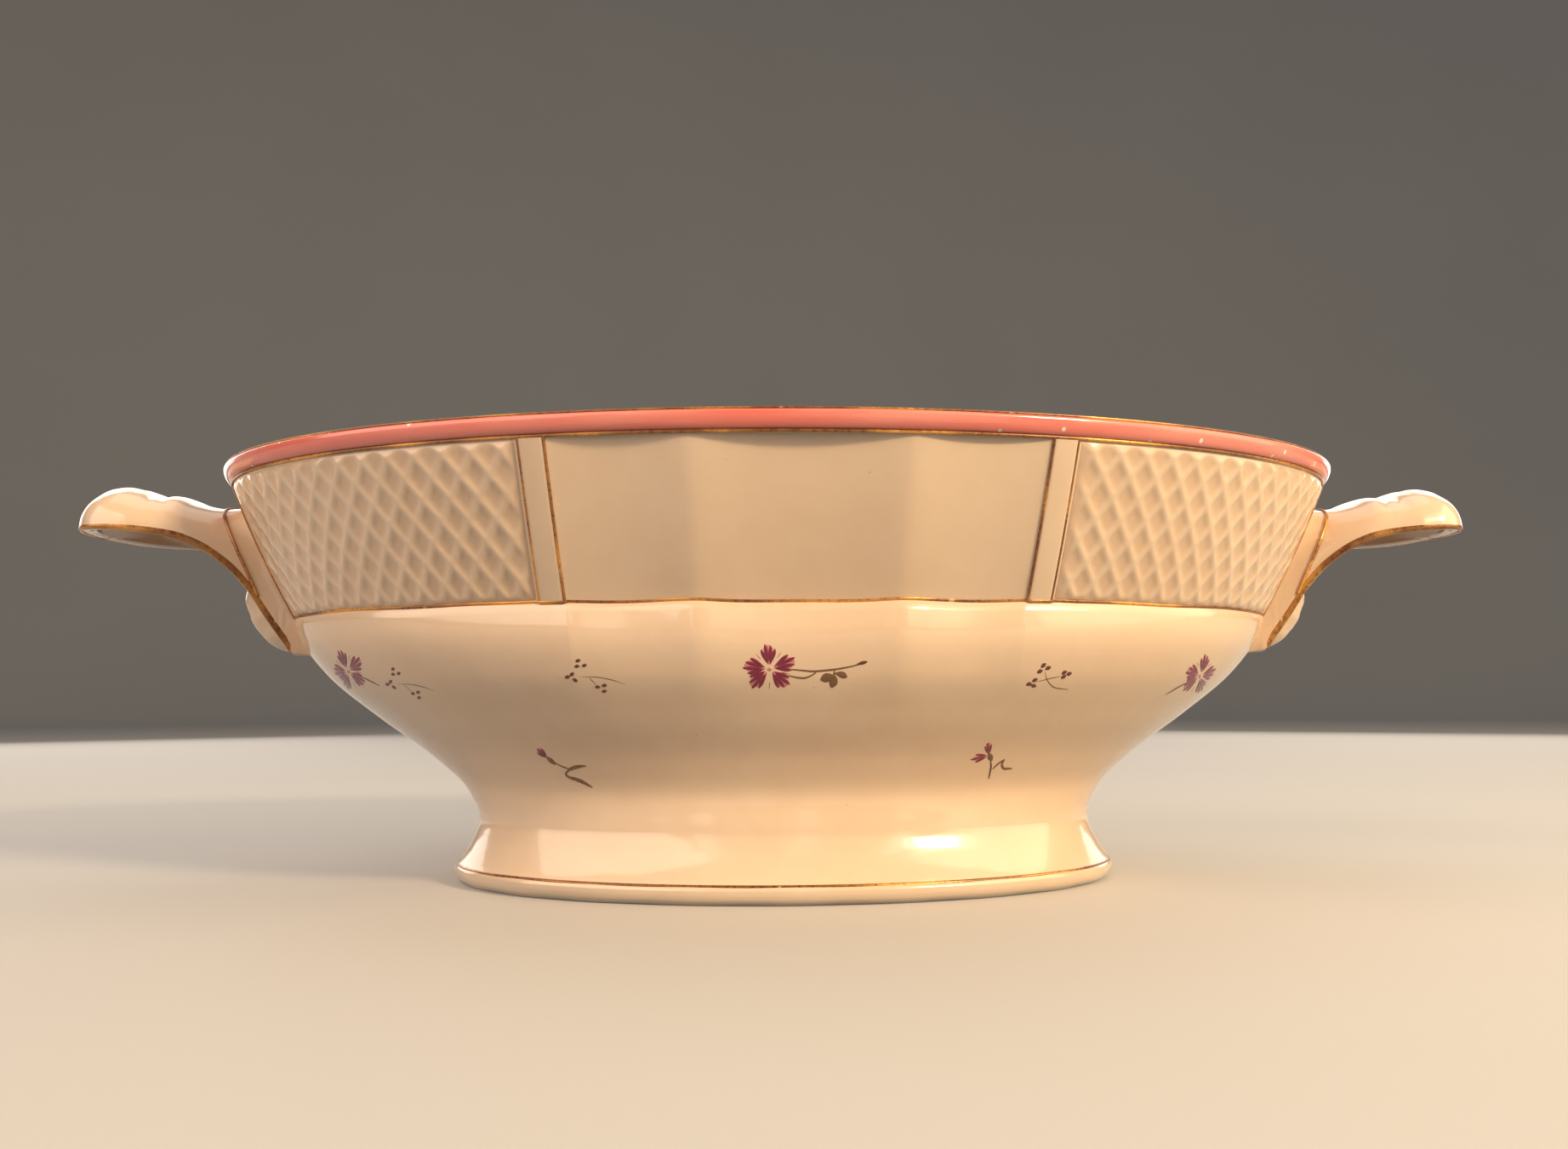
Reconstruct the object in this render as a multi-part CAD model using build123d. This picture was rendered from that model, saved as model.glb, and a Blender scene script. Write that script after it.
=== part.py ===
"""Oval footed porcelain serving bowl with two shell lug handles.

Millimetres, +Z up, X along the handles, the front of the bowl at -Y.
Origin: the middle of the foot's resting plane.
"""
import math
import os

from build123d import *

os.makedirs("parts", exist_ok=True)

# Heights above the table
rim_height = 101.3
waist_height = 64.0
neck_height = 15.0
foot_roll_height = 4.4

# Half lengths (along X) of the outside, from the table up
foot_base_half = 80.6
foot_roll_half = 82.5
neck_half = 76.6
ledge_half = 122.9
wall_foot_half = 122.2
wall_rim_half = 139.4

# How much shorter the half width (along Y) is than the half length
foot_inset = 26.0
waist_inset = 51.0
rim_inset = 50.4

# Lower body: share of the rise, share of the swell, from neck to ledge
belly_shape = [(0.15, 0.07), (0.31, 0.247), (0.51, 0.538), (0.71, 0.80), (0.88, 0.945)]
wall_bow = 0.9

# Walls
wall = 4.0
slope_wall = 4.8
side_wall_gain = 1.2
floor_thick = 5.0
floor_half = 56.0
foot_wall = 5.2
foot_taper = 3.0

# Rolled rim band
band_height = 3.6
band_bulge = 1.2
lip_reveal = 0.85

# Rib strips and flutes on the front and back
rib_top_x = 51.2
rib_foot_x = 48.3
rib_width = 5.8
rib_proud = 0.45
ridge_top_x = 22.7
ridge_foot_x = 21.4
flute_depth = 0.5
side_flute_depth = 0.35

# Gold lines
gold_film = 0.25
line_width = 0.6
rim_line_width = 0.45
gold_gap_at_handle = 1.5

# Lug handles: the outside of the shell, hung from the rim
handle_reach = 38.75
handle_crest_drop = 3.7
handle_neck_drop = 10.1
handle_lip_drop = 15.7
handle_root_drop = 8.0
handle_half_width = 23.0
handle_neck_half_width = 15.0
handle_wall = 3.2

# Scroll leaf under each handle
leaf_proud = 14.3
leaf_half_width = 8.0
leaf_above_waist = 12.0

# Heights that several pieces share
band_top = rim_height - lip_reveal
band_foot = band_top - band_height
frieze_top = band_foot - line_width
handle_crest = rim_height - handle_crest_drop
handle_neck_crest = rim_height - handle_neck_drop
handle_lip_height = rim_height - handle_lip_drop
handle_root_height = waist_height - handle_root_drop
leaf_top_height = waist_height + leaf_above_waist
leaf_foot_height = handle_root_height


def oval(half_length, half_width, height):
    """One horizontal oval section."""
    return Plane.XY.offset(height) * Ellipse(half_length, half_width)


def stack(stations):
    """A smooth solid through ovals given as (height, half length, inset)."""
    return loft([oval(a, a - inset, z) for z, a, inset in stations])


def mix(low, high, share):
    """A value part of the way from low to high."""
    return low + (high - low) * share


def lower_body():
    """The outside of the body from the neck to the ledge at the waist."""
    stations = [(neck_height, neck_half, foot_inset)]
    for rise, swell in belly_shape:
        z = mix(neck_height, waist_height, rise)
        a = mix(neck_half, ledge_half, swell)
        stations.append((z, a, mix(foot_inset, waist_inset, rise)))
    stations.append((waist_height, ledge_half, waist_inset))
    return stack(stations)


def wall_half(height):
    """Half length of the frieze wall at a height."""
    share = (height - waist_height) / (rim_height - waist_height)
    bow = 4.0 * wall_bow * share * (1.0 - share)
    return mix(wall_foot_half, wall_rim_half, share) + bow


def wall_inset(height):
    """Inset of the frieze wall at a height."""
    share = (height - waist_height) / (rim_height - waist_height)
    return mix(waist_inset, rim_inset, share)


def frieze_wall(grow=0.0):
    """The outside of the wall from the waist to the rim."""
    stations = []
    for share in (0.0, 0.33, 0.67, 1.0):
        z = mix(waist_height, rim_height, share)
        stations.append((z, wall_half(z) + grow, wall_inset(z)))
    return stack(stations)


def inside():
    """The curved space that the bowl holds."""
    lift = floor_thick * 0.35
    over = 1.0
    floor = neck_height + floor_thick
    well = mix(floor_half, neck_half - slope_wall, 0.72)
    stations = [
        (floor, floor_half, foot_inset),
        (floor + 1.6, well, foot_inset),
    ]
    for rise, swell in belly_shape[1:4]:
        z = mix(neck_height, waist_height, rise) + lift
        a = mix(neck_half, ledge_half, swell) - slope_wall
        inset = mix(foot_inset, waist_inset, rise) - side_wall_gain * (1.0 - rise)
        stations.append((z, a, inset))
    for share in (0.0, 0.3, 0.65, 1.0):
        z = mix(waist_height, rim_height, share)
        stations.append((z, wall_half(z) - wall, wall_inset(z)))
    top = rim_height + over
    stations.append((top, wall_half(rim_height) - wall + 0.4, rim_inset))
    return stack(stations)


def wall_point(x, height, side=-1):
    """The point of the frieze wall above x, on the front (side -1) or back."""
    a = wall_half(height)
    b = a - wall_inset(height)
    return Vector(x, side * b * math.sqrt(1.0 - (x / a) ** 2), height)


def leaning_slab(top_x, foot_x, width, side):
    """A slab through the wall that follows a line leaning from top to foot."""
    over = 6.0
    lean = (top_x - foot_x) / (rim_height - waist_height)
    low = waist_height - over
    high = rim_height + over
    x_low = foot_x - lean * over
    x_high = top_x + lean * over
    half = width / 2.0
    outline = Polyline(
        (x_low - half, low),
        (x_low + half, low),
        (x_high + half, high),
        (x_high - half, high),
        close=True,
    )
    face = Plane.XZ * make_face(outline)
    return extrude(face, amount=-side * 120.0)


def flute_cutter(x_in, x_out, depth, side):
    """A long round bar that hollows one flute between two ridges."""
    over = 12.0
    middle = (x_in + x_out) / 2.0
    low_in = wall_point(x_in, waist_height, side)
    low_out = wall_point(x_out, waist_height, side)
    high_in = wall_point(x_in, rim_height, side)
    high_out = wall_point(x_out, rim_height, side)
    low = (low_in + low_out) * 0.5
    high = (high_in + high_out) * 0.5
    up = (high - low).normalized()
    half_chord = (x_out - x_in) / 2.0
    radius = half_chord**2 / (2.0 * depth) + depth / 2.0
    across = (low_out - low_in).normalized()
    out = across.cross(up) if side < 0 else up.cross(across)
    centre = low + out * (radius - depth) - up * over
    length = (high - low).length + 2.0 * over
    bar = Plane(origin=centre, x_dir=across, z_dir=up) * Cylinder(
        radius, length, align=(Align.CENTER, Align.CENTER, Align.MIN)
    )
    tall = frieze_top - waist_height
    near = Box(x_out - x_in, 400.0, tall, align=(Align.CENTER, Align.CENTER, Align.MIN))
    return bar & (Pos(middle, 0.0, waist_height) * near)


def flutes(side):
    """The three flutes of one plain panel."""
    ridge = (ridge_top_x + ridge_foot_x) / 2.0
    rib = (rib_top_x + rib_foot_x) / 2.0
    middle = flute_cutter(-ridge, ridge, flute_depth, side)
    right = flute_cutter(ridge, rib, side_flute_depth, side)
    left = flute_cutter(-rib, -ridge, side_flute_depth, side)
    return [middle, right, left]


def ribs():
    """The four raised strips, two on the front and two on the back."""
    low = waist_height + line_width
    zone = Box(400.0, 400.0, frieze_top - low, align=(Align.CENTER, Align.CENTER, Align.MIN))
    skin = frieze_wall(rib_proud) & (Pos(0.0, 0.0, low) * zone)
    strips = []
    for side in (-1, 1):
        for end in (-1, 1):
            top = end * (rib_top_x + rib_width / 2.0)
            foot = end * (rib_foot_x + rib_width / 2.0)
            strips.append(skin & leaning_slab(top, foot, rib_width, side))
    return strips


def wall_ring(low, high, proud):
    """A gold line round the frieze wall between two heights."""
    solids = []
    for grow in (0.0, proud):
        ends = [(z, wall_half(z) + grow, wall_inset(z)) for z in (low, high)]
        solids.append(stack(ends))
    return solids[1] - solids[0]


def rim_band(core):
    """The rolled band round the rim, below the bare lip."""
    stations = []
    for share, bulge in ((0.0, 0.35), (0.22, 0.82), (0.5, 1.0), (0.78, 0.85), (1.0, 0.4)):
        z = mix(band_foot, band_top, share)
        stations.append((z, wall_half(z) + band_bulge * bulge, wall_inset(z)))
    return stack(stations) - core


def foot_outside(grow=0.0):
    """The outside of the neck and the rolled foot."""
    roll = foot_roll_height
    rise = neck_height - roll
    return stack([
        (0.0, foot_base_half + grow, foot_inset),
        (roll * 0.3, mix(foot_base_half, foot_roll_half, 0.8) + grow, foot_inset),
        (roll * 0.65, foot_roll_half + grow, foot_inset),
        (roll, foot_roll_half - 0.5 + grow, foot_inset),
        (roll + rise * 0.35, mix(neck_half, foot_roll_half, 0.46) + grow, foot_inset),
        (roll + rise * 0.7, mix(neck_half, foot_roll_half, 0.12) + grow, foot_inset),
        (neck_height, neck_half + grow, foot_inset),
    ])


def foot_hollow():
    """The hollow beneath the foot."""
    mouth = foot_base_half - foot_wall
    middle = mix(neck_half, foot_roll_half, 0.33)
    return stack([
        (-1.0, mouth, foot_inset),
        (neck_height * 0.5, middle - foot_wall - foot_taper * 0.5, foot_inset),
        (neck_height + 1.0, neck_half - foot_wall - foot_taper, foot_inset),
    ])


def foot_line():
    """The gold line above the roll of the foot."""
    slab = Box(400.0, 400.0, line_width, align=(Align.CENTER, Align.CENTER, Align.MIN))
    film = foot_outside(gold_film) & (Pos(0.0, 0.0, foot_roll_height) * slab)
    return film - foot_outside()


def waist_line():
    """The gold line on the ledge, left out where the handles are."""
    low = waist_height
    line = wall_ring(low, low + line_width, rib_proud)
    clear = 2.0 * (handle_neck_half_width + gold_gap_at_handle)
    gap = Box(400.0, clear, 20.0)
    return line - Pos(0.0, 0.0, low) * gap


def dome(half_width, crest, lip, x):
    """One arched section of a handle: a dome above a flat underside."""
    rise = crest - lip
    arch = Spline(
        (-half_width, lip),
        (-half_width * 0.86, lip + rise * 0.56),
        (-half_width * 0.48, lip + rise * 0.9),
        (0.0, crest),
        (half_width * 0.48, lip + rise * 0.9),
        (half_width * 0.86, lip + rise * 0.56),
        (half_width, lip),
        tangents=((0.0, 1.0), (0.0, -1.0)),
    )
    base = Line((half_width, lip), (-half_width, lip))
    return Plane.YZ.offset(x) * make_face(arch + base)


def handle_stations():
    """Sections of a handle: x, half width, crest height, lip height."""
    root = wall_foot_half
    reach = wall_half(handle_neck_crest) + handle_reach - root
    drop = handle_lip_height - handle_root_height
    swell = handle_half_width - handle_neck_half_width
    crown = handle_crest - handle_neck_crest
    shape = [
        (-0.12, -0.06, -0.05, 1.22),
        (0.0, 0.0, 0.0, 0.95),
        (0.11, 0.12, 0.03, 0.65),
        (0.23, 0.32, 0.08, 0.39),
        (0.36, 0.56, 0.12, 0.19),
        (0.48, 0.78, 0.34, 0.10),
        (0.60, 0.92, 0.50, 0.035),
        (0.70, 1.0, 0.82, 0.01),
        (0.81, 0.97, 1.0, 0.0),
        (0.905, 0.62, 0.86, 0.0),
        (0.965, -0.02, 0.30, -0.005),
        (1.0, -0.9, -0.42, -0.01),
    ]
    stations = []
    for along, wide, high, low in shape:
        x = root + reach * along
        half = handle_neck_half_width + swell * wide
        crest = handle_neck_crest + crown * high
        stations.append((x, half, crest, handle_lip_height - drop * low))
    return stations


def handle_shell():
    """The solid outside shape of the right handle."""
    return loft([dome(half, crest, lip, x) for x, half, crest, lip in handle_stations()])


def handle_hollow():
    """The finger space under the right handle."""
    sections = []
    stations = handle_stations()
    for x, half, crest, lip in stations[:-2]:
        inner = half - handle_wall
        sections.append(dome(inner, crest - handle_wall, lip - 4.0, x))
    return loft(sections)


def scroll_leaf():
    """The applied leaf that fills the root under the right handle."""
    inside_x = wall_foot_half - 8.0
    front_x = wall_foot_half + leaf_proud
    tall = leaf_top_height - leaf_foot_height
    reach = front_x - inside_x
    crest = Spline(
        (inside_x, leaf_foot_height),
        (inside_x + reach * 0.56, leaf_foot_height + tall * 0.06),
        (inside_x + reach * 0.83, leaf_foot_height + tall * 0.24),
        (front_x, leaf_foot_height + tall * 0.66),
        (inside_x + reach * 0.86, leaf_foot_height + tall * 0.9),
        (inside_x, leaf_top_height),
    )
    back = Line((inside_x, leaf_top_height), (inside_x, leaf_foot_height))
    face = Plane.XZ * make_face(crest + back)
    pad = extrude(face, amount=leaf_half_width, both=True)
    middle = (leaf_top_height + leaf_foot_height) / 2.0
    round_pad = Cylinder(tall * 0.56, 80.0, rotation=(0.0, 90.0, 0.0))
    round_pad = scale(round_pad, by=(1.0, leaf_half_width / (tall * 0.56), 1.0))
    return pad & (Pos(front_x - 20.0, 0.0, middle) * round_pad)


def save(shape, node):
    """Writes one node to its own file."""
    export_step(shape, "parts/" + node + ".step")


def main():
    """Builds every piece and writes one file for each."""
    plain = lower_body() + frieze_wall()
    core = plain
    for side in (-1, 1):
        for cutter in flutes(side):
            core = core - cutter
    for strip in ribs():
        core = core + strip
    handle = handle_shell() - handle_hollow() - plain
    leaf = scroll_leaf() - plain
    save(core - inside(), "bowl_body")
    save(rim_band(plain), "rim_band")
    save(foot_outside() - foot_hollow(), "pedestal_foot")
    save(handle, "handle_right")
    save(mirror(handle, Plane.YZ), "handle_left")
    save(leaf, "handle_leaf_right")
    save(mirror(leaf, Plane.YZ), "handle_leaf_left")
    upper = wall_ring(band_top, band_top + rim_line_width, gold_film)
    save(upper - plain, "gold_rim_upper")
    save(wall_ring(frieze_top, band_foot, rib_proud) - plain, "gold_rim_lower")
    save(waist_line() - plain, "gold_waist_line")
    save(foot_line(), "gold_foot_line")


main()
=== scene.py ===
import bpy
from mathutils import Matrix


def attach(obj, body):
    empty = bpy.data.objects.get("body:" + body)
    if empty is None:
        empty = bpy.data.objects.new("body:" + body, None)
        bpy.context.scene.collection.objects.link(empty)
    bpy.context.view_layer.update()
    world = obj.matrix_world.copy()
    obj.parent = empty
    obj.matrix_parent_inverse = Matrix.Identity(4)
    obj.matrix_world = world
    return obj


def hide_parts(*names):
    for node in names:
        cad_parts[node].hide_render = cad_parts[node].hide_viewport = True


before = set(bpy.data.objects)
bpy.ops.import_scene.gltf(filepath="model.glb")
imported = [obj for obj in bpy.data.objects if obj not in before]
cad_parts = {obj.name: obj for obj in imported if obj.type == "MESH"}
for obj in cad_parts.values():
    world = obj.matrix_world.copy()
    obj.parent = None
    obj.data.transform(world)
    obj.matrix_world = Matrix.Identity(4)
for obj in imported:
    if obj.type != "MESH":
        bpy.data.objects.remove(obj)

"""A footed oval porcelain bowl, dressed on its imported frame.

Sizes are millimetres inside the classes and become metres when a mesh is made.
X runs along the handles, the front of the bowl is at -Y, and Z is up.
"""
import logging
import math
from dataclasses import dataclass, field
from enum import Enum

import bmesh
import bpy
import numpy as np
from mathutils import Matrix

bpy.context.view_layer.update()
MM = 0.001
ROOT = "root"
MERGE = 2e-6
SMOOTH_ANGLE = 40.0
SHARP_ANGLE = 60.0
log = logging.getLogger("bowl")


# ---------------------------------------------------------------- curves and meshes


class Curve:
    """A smooth curve through stations that never overshoots them."""

    def __init__(self, x: list[float], y: list[float]) -> None:
        """Works out the slope at each station.

        Args:
            x: rising station positions.
            y: the value at each station.
        """
        self.x = np.asarray(x, float)
        self.y = np.asarray(y, float)
        rise = np.diff(self.y) / np.diff(self.x)
        slope = np.empty_like(self.y)
        slope[0], slope[-1] = rise[0], rise[-1]
        both = rise[:-1] * rise[1:]
        total = rise[:-1] + rise[1:]
        total = np.where(np.abs(total) < 1e-9, 1.0, total)
        slope[1:-1] = np.where(both > 0.0, 2.0 * both / total, 0.0)
        self.slope = slope

    def __call__(self, at: np.ndarray) -> np.ndarray:
        """Values at positions: a cubic between each pair of stations.

        Args:
            at: positions.

        Returns:
            The curve's values there.
        """
        at = np.clip(np.asarray(at, float), self.x[0], self.x[-1])
        i = np.clip(np.searchsorted(self.x, at) - 1, 0, len(self.x) - 2)
        width = self.x[i + 1] - self.x[i]
        t = (at - self.x[i]) / width
        t2, t3 = t * t, t * t * t
        low = (2 * t3 - 3 * t2 + 1) * self.y[i] + (t3 - 2 * t2 + t) * width * self.slope[i]
        high = (3 * t2 - 2 * t3) * self.y[i + 1] + (t3 - t2) * width * self.slope[i + 1]
        return low + high


def mix(a: np.ndarray, b: np.ndarray, t: np.ndarray) -> np.ndarray:
    """A value part of the way from a to b."""
    return a + (b - a) * t


def smooth(low: float, high: float, x: np.ndarray) -> np.ndarray:
    """Zero below low, one above high, and an S between them."""
    t = np.clip((x - low) / (high - low), 0.0, 1.0)
    return t * t * (3.0 - 2.0 * t)


def hump(x: np.ndarray, width: float) -> np.ndarray:
    """A soft bell of height one and the given half width."""
    return np.exp(-((x / width) ** 2))


def unit(v: np.ndarray) -> np.ndarray:
    """Vectors of length one along the last axis."""
    return v / np.maximum(np.linalg.norm(v, axis=-1, keepdims=True), 1e-12)


def grid_faces(
    rows: int, cols: int, wrap_rows: bool = False, wrap_cols: bool = False
) -> np.ndarray:
    """Quads of a grid whose points are stored row by row.

    Args:
        rows: number of rows of points.
        cols: number of columns of points.
        wrap_rows: joins the last row to the first.
        wrap_cols: joins the last column to the first.

    Returns:
        An array of four point numbers for each face.
    """
    r = np.arange(rows if wrap_rows else rows - 1)
    c = np.arange(cols if wrap_cols else cols - 1)
    r, c = [g.ravel() for g in np.meshgrid(r, c, indexing="ij")]
    r1, c1 = (r + 1) % rows, (c + 1) % cols
    return np.stack([r * cols + c, r * cols + c1, r1 * cols + c1, r1 * cols + c], axis=1)


def close_ends(grid: np.ndarray) -> np.ndarray:
    """Adds a row at each end whose points all lie at that end's middle.

    Args:
        grid: points, rows by columns by three.

    Returns:
        The grid with its two new rows.
    """
    first = grid[:1].mean(1, keepdims=True) + 0 * grid[:1]
    last = grid[-1:].mean(1, keepdims=True) + 0 * grid[-1:]
    return np.concatenate([first, grid, last])


class Shell:
    """Points and quads gathered for one piece, with values kept at the points."""

    def __init__(self) -> None:
        """Starts empty."""
        self.points: list[np.ndarray] = []
        self.faces: list[np.ndarray] = []
        self.values: dict[str, list[np.ndarray]] = {}
        self.count = 0

    def add(
        self, grid: np.ndarray, wrap_rows: bool = False, wrap_cols: bool = False,
        **values: np.ndarray,
    ) -> None:
        """Adds one grid of points.

        Args:
            grid: points, rows by columns by three, in millimetres.
            wrap_rows: joins the last row to the first.
            wrap_cols: joins the last column to the first.
            values: named numbers, one for each point.
        """
        rows, cols = grid.shape[:2]
        self.faces.append(grid_faces(rows, cols, wrap_rows, wrap_cols) + self.count)
        self.points.append(grid.reshape(-1, 3))
        for name, value in values.items():
            flat = np.broadcast_to(value, (rows, cols)).reshape(-1)
            self.values.setdefault(name, []).append(flat)
        self.count += rows * cols

    def add_slab(self, front: np.ndarray, back: np.ndarray, **values: np.ndarray) -> None:
        """Adds a closed slab: a front grid, a back grid and the edge between them.

        Args:
            front: the seen side, whose border points lie on the back's border.
            back: the hidden side, as many points.
            values: named numbers for the front's points, repeated at the back.
        """
        self.add(front, **values)
        self.add(back, **values)

    def piece(
        self, name: str, finish: "Finish", slot: str,
        replaces: tuple[str, ...] = (), crease: float = SMOOTH_ANGLE,
    ) -> bpy.types.Object:
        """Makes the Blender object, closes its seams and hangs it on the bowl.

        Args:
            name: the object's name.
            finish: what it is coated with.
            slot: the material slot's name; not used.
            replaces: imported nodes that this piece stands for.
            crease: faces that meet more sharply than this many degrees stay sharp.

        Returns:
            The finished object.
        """
        points = np.concatenate(self.points) * MM
        faces = np.concatenate(self.faces)
        mesh = bpy.data.meshes.new(name)
        mesh.from_pydata(points.tolist(), [], faces.tolist())
        for key, parts in self.values.items():
            layer = mesh.attributes.new(key, "FLOAT", "POINT")
            layer.data.foreach_set("value", np.concatenate(parts).astype(np.float32))
        work = bmesh.new()
        work.from_mesh(mesh)
        bmesh.ops.remove_doubles(work, verts=work.verts, dist=MERGE)
        bmesh.ops.dissolve_degenerate(work, dist=1e-7, edges=work.edges)
        bmesh.ops.recalc_face_normals(work, faces=work.faces)
        work.to_mesh(mesh)
        work.free()
        mesh.polygons.foreach_set("use_smooth", np.ones(len(mesh.polygons), bool))
        mesh.set_sharp_from_angle(angle=math.radians(crease))
        made = bpy.data.objects.new(name, mesh)
        bpy.context.scene.collection.objects.link(made)
        mesh.materials.append(finish.material())
        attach(made, ROOT)
        if replaces:
            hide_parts(*replaces)
        triangles = sum(len(p.vertices) - 2 for p in mesh.polygons)
        log.info("%s: %d triangles", name, triangles)
        return made


def ribbon(
    path: np.ndarray, normal: np.ndarray, width: float, rise: float, closed: bool = False
) -> np.ndarray:
    """A thin domed line laid along a path on a surface.

    Across the path the section is half an ellipse, width wide and rise high,
    whose two feet go a little way into the surface and join beneath it.

    Args:
        path: points on the surface.
        normal: the surface's outward direction at each point.
        width: full width of the line.
        rise: how far it stands above the surface.
        closed: whether the path is a loop.

    Returns:
        A grid of points, one row for each path point, wrapping by columns.
    """
    if closed:
        along = np.roll(path, -1, 0) - np.roll(path, 1, 0)
    else:
        along = np.gradient(path, axis=0)
    across = unit(np.cross(unit(along), unit(normal)))
    turn = np.linspace(0.0, math.pi, 7)
    side = np.concatenate([np.cos(turn), [-1.0, 1.0]]) * width / 2.0
    lift = np.concatenate([np.sin(turn) * (rise + 0.05) - 0.05, [-0.22, -0.22]])
    up = unit(normal)
    grid = path[:, None] + across[:, None] * side[None, :, None] + up[:, None] * lift[None, :, None]
    return grid if closed else close_ends(grid)


# ---------------------------------------------------------------- shader building


class Socket:
    """One value in a shader, on which Python's operators add Math nodes."""

    def __init__(self, paint: "Paint", link: bpy.types.NodeSocket) -> None:
        """Wraps an output socket.

        Args:
            paint: the material it belongs to.
            link: the output socket.
        """
        self.paint = paint
        self.link = link

    def _math(
        self, operation: str, first: "Socket | float", second: "Socket | float"
    ) -> "Socket":
        """Adds one Math node.

        Args:
            operation: the node's operation.
            first: its first value.
            second: its second value.

        Returns:
            The result.
        """
        node = self.paint.node("ShaderNodeMath", {"operation": operation}, {0: first, 1: second})
        return Socket(self.paint, node.outputs[0])

    def __add__(self, other: "Socket | float") -> "Socket":
        """Sum."""
        return self._math("ADD", self, other)

    __radd__ = __add__

    def __mul__(self, other: "Socket | float") -> "Socket":
        """Product."""
        return self._math("MULTIPLY", self, other)

    __rmul__ = __mul__

    def __sub__(self, other: "Socket | float") -> "Socket":
        """Difference."""
        return self._math("SUBTRACT", self, other)

    def __rsub__(self, other: "Socket | float") -> "Socket":
        """Difference the other way round."""
        return self._math("SUBTRACT", other, self)

    def __gt__(self, other: "Socket | float") -> "Socket":
        """One where greater, else zero."""
        return self._math("GREATER_THAN", self, other)

    def fade(self, low: float, high: float) -> "Socket":
        """Zero below low and one above high, with an S between.

        Args:
            low: where the fade starts.
            high: where it ends.

        Returns:
            The faded value.
        """
        settings = {"interpolation_type": "SMOOTHSTEP"}
        values = {"Value": self, "From Min": low, "From Max": high}
        node = self.paint.node("ShaderNodeMapRange", settings, values)
        return Socket(self.paint, node.outputs[0])


Colour = tuple[float, float, float]
Place = tuple[float, float, float]


class Paint:
    """A material being built round one Principled shader."""

    def __init__(self, name: str) -> None:
        """Makes an empty material with its shader and coordinates.

        Args:
            name: the material's name.
        """
        self.made = bpy.data.materials.new(name)
        self.made.use_nodes = True
        self.tree = self.made.node_tree
        self.tree.nodes.clear()
        self.shader = self.tree.nodes.new("ShaderNodeBsdfPrincipled")
        out = self.tree.nodes.new("ShaderNodeOutputMaterial")
        self.tree.links.new(self.shader.outputs[0], out.inputs["Surface"])
        self.place = Socket(self, self.node("ShaderNodeTexCoord", {}, {}).outputs["Object"])

    def node(self, kind: str, settings: dict, values: dict) -> bpy.types.Node:
        """Adds one node.

        Args:
            kind: the node's type.
            settings: its options, set before its sockets are used.
            values: numbers, colours or sockets for its inputs.

        Returns:
            The node.
        """
        made = self.tree.nodes.new(kind)
        for key, value in settings.items():
            setattr(made, key, value)
        for key, value in values.items():
            self.feed(made.inputs[key], value)
        return made

    def feed(self, target: bpy.types.NodeSocket, value: object) -> None:
        """Links a socket or sets a constant."""
        if isinstance(value, Socket):
            self.tree.links.new(value.link, target)
        elif isinstance(value, tuple) and target.type == "RGBA":
            target.default_value = (*value, 1.0)
        else:
            target.default_value = value

    def noise(self, size: float, detail: float = 2.0, stretch: Colour = (1.0, 1.0, 1.0)) -> Socket:
        """Smooth noise whose features are about size metres across.

        Args:
            size: feature size in metres.
            detail: number of finer layers.
            stretch: how much each axis is squeezed before the noise is read.

        Returns:
            A value near one half.
        """
        place = self.node("ShaderNodeMapping", {}, {"Vector": self.place, "Scale": stretch})
        values = {"Vector": Socket(self, place.outputs[0]), "Scale": 1.0 / size, "Detail": detail}
        return Socket(self, self.node("ShaderNodeTexNoise", {}, values).outputs["Fac"])

    def flecks(self, size: float, radius: float) -> Socket:
        """Small round flecks, about one to each cell of the given size.

        Args:
            size: a cell's size in metres.
            radius: a fleck's radius as a share of the cell.

        Returns:
            One inside a fleck and zero outside.
        """
        values = {"Vector": self.place, "Scale": 1.0 / size}
        cells = self.node("ShaderNodeTexVoronoi", {"feature": "F1"}, values)
        return 1.0 - Socket(self, cells.outputs["Distance"]).fade(radius * 0.6, radius)

    def value(self, name: str) -> Socket:
        """A number kept at the mesh's points."""
        node = self.node("ShaderNodeAttribute", {"attribute_name": name}, {})
        return Socket(self, node.outputs["Fac"])

    def blend(self, amount: Socket, first: "Socket | Colour", second: "Socket | Colour") -> Socket:
        """A colour between two colours.

        Args:
            amount: zero for the first, one for the second.
            first: a colour or a colour socket.
            second: a colour or a colour socket.

        Returns:
            The mixed colour.
        """
        node = self.node("ShaderNodeMix", {"data_type": "RGBA"}, {0: amount, 6: first, 7: second})
        return Socket(self, node.outputs[2])

    def bump(self, height: Socket, depth: float, strength: float) -> None:
        """Feeds a height to the shader's normal.

        Args:
            height: relief from 0 to 1.
            depth: metres that a height of 1 stands for.
            strength: share of the relief that shows.
        """
        values = {"Height": height, "Distance": depth, "Strength": strength}
        node = self.node("ShaderNodeBump", {}, values)
        self.set(Normal=Socket(self, node.outputs[0]))

    def set(self, **values: object) -> None:
        """Sets the shader's own sockets; underscores stand for spaces."""
        for key, value in values.items():
            self.feed(self.shader.inputs[key.replace("_", " ")], value)


class Finish:
    """A coating, made once and shared by its pieces."""

    made: dict[str, bpy.types.Material] = {}
    name = "finish"

    def material(self) -> bpy.types.Material:
        """The finish's material, built the first time."""
        if self.name not in Finish.made:
            paint = Paint(self.name)
            self.coat(paint)
            Finish.made[self.name] = paint.made
        return Finish.made[self.name]

    def coat(self, paint: Paint) -> None:
        """Builds the nodes."""
        raise NotImplementedError


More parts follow.
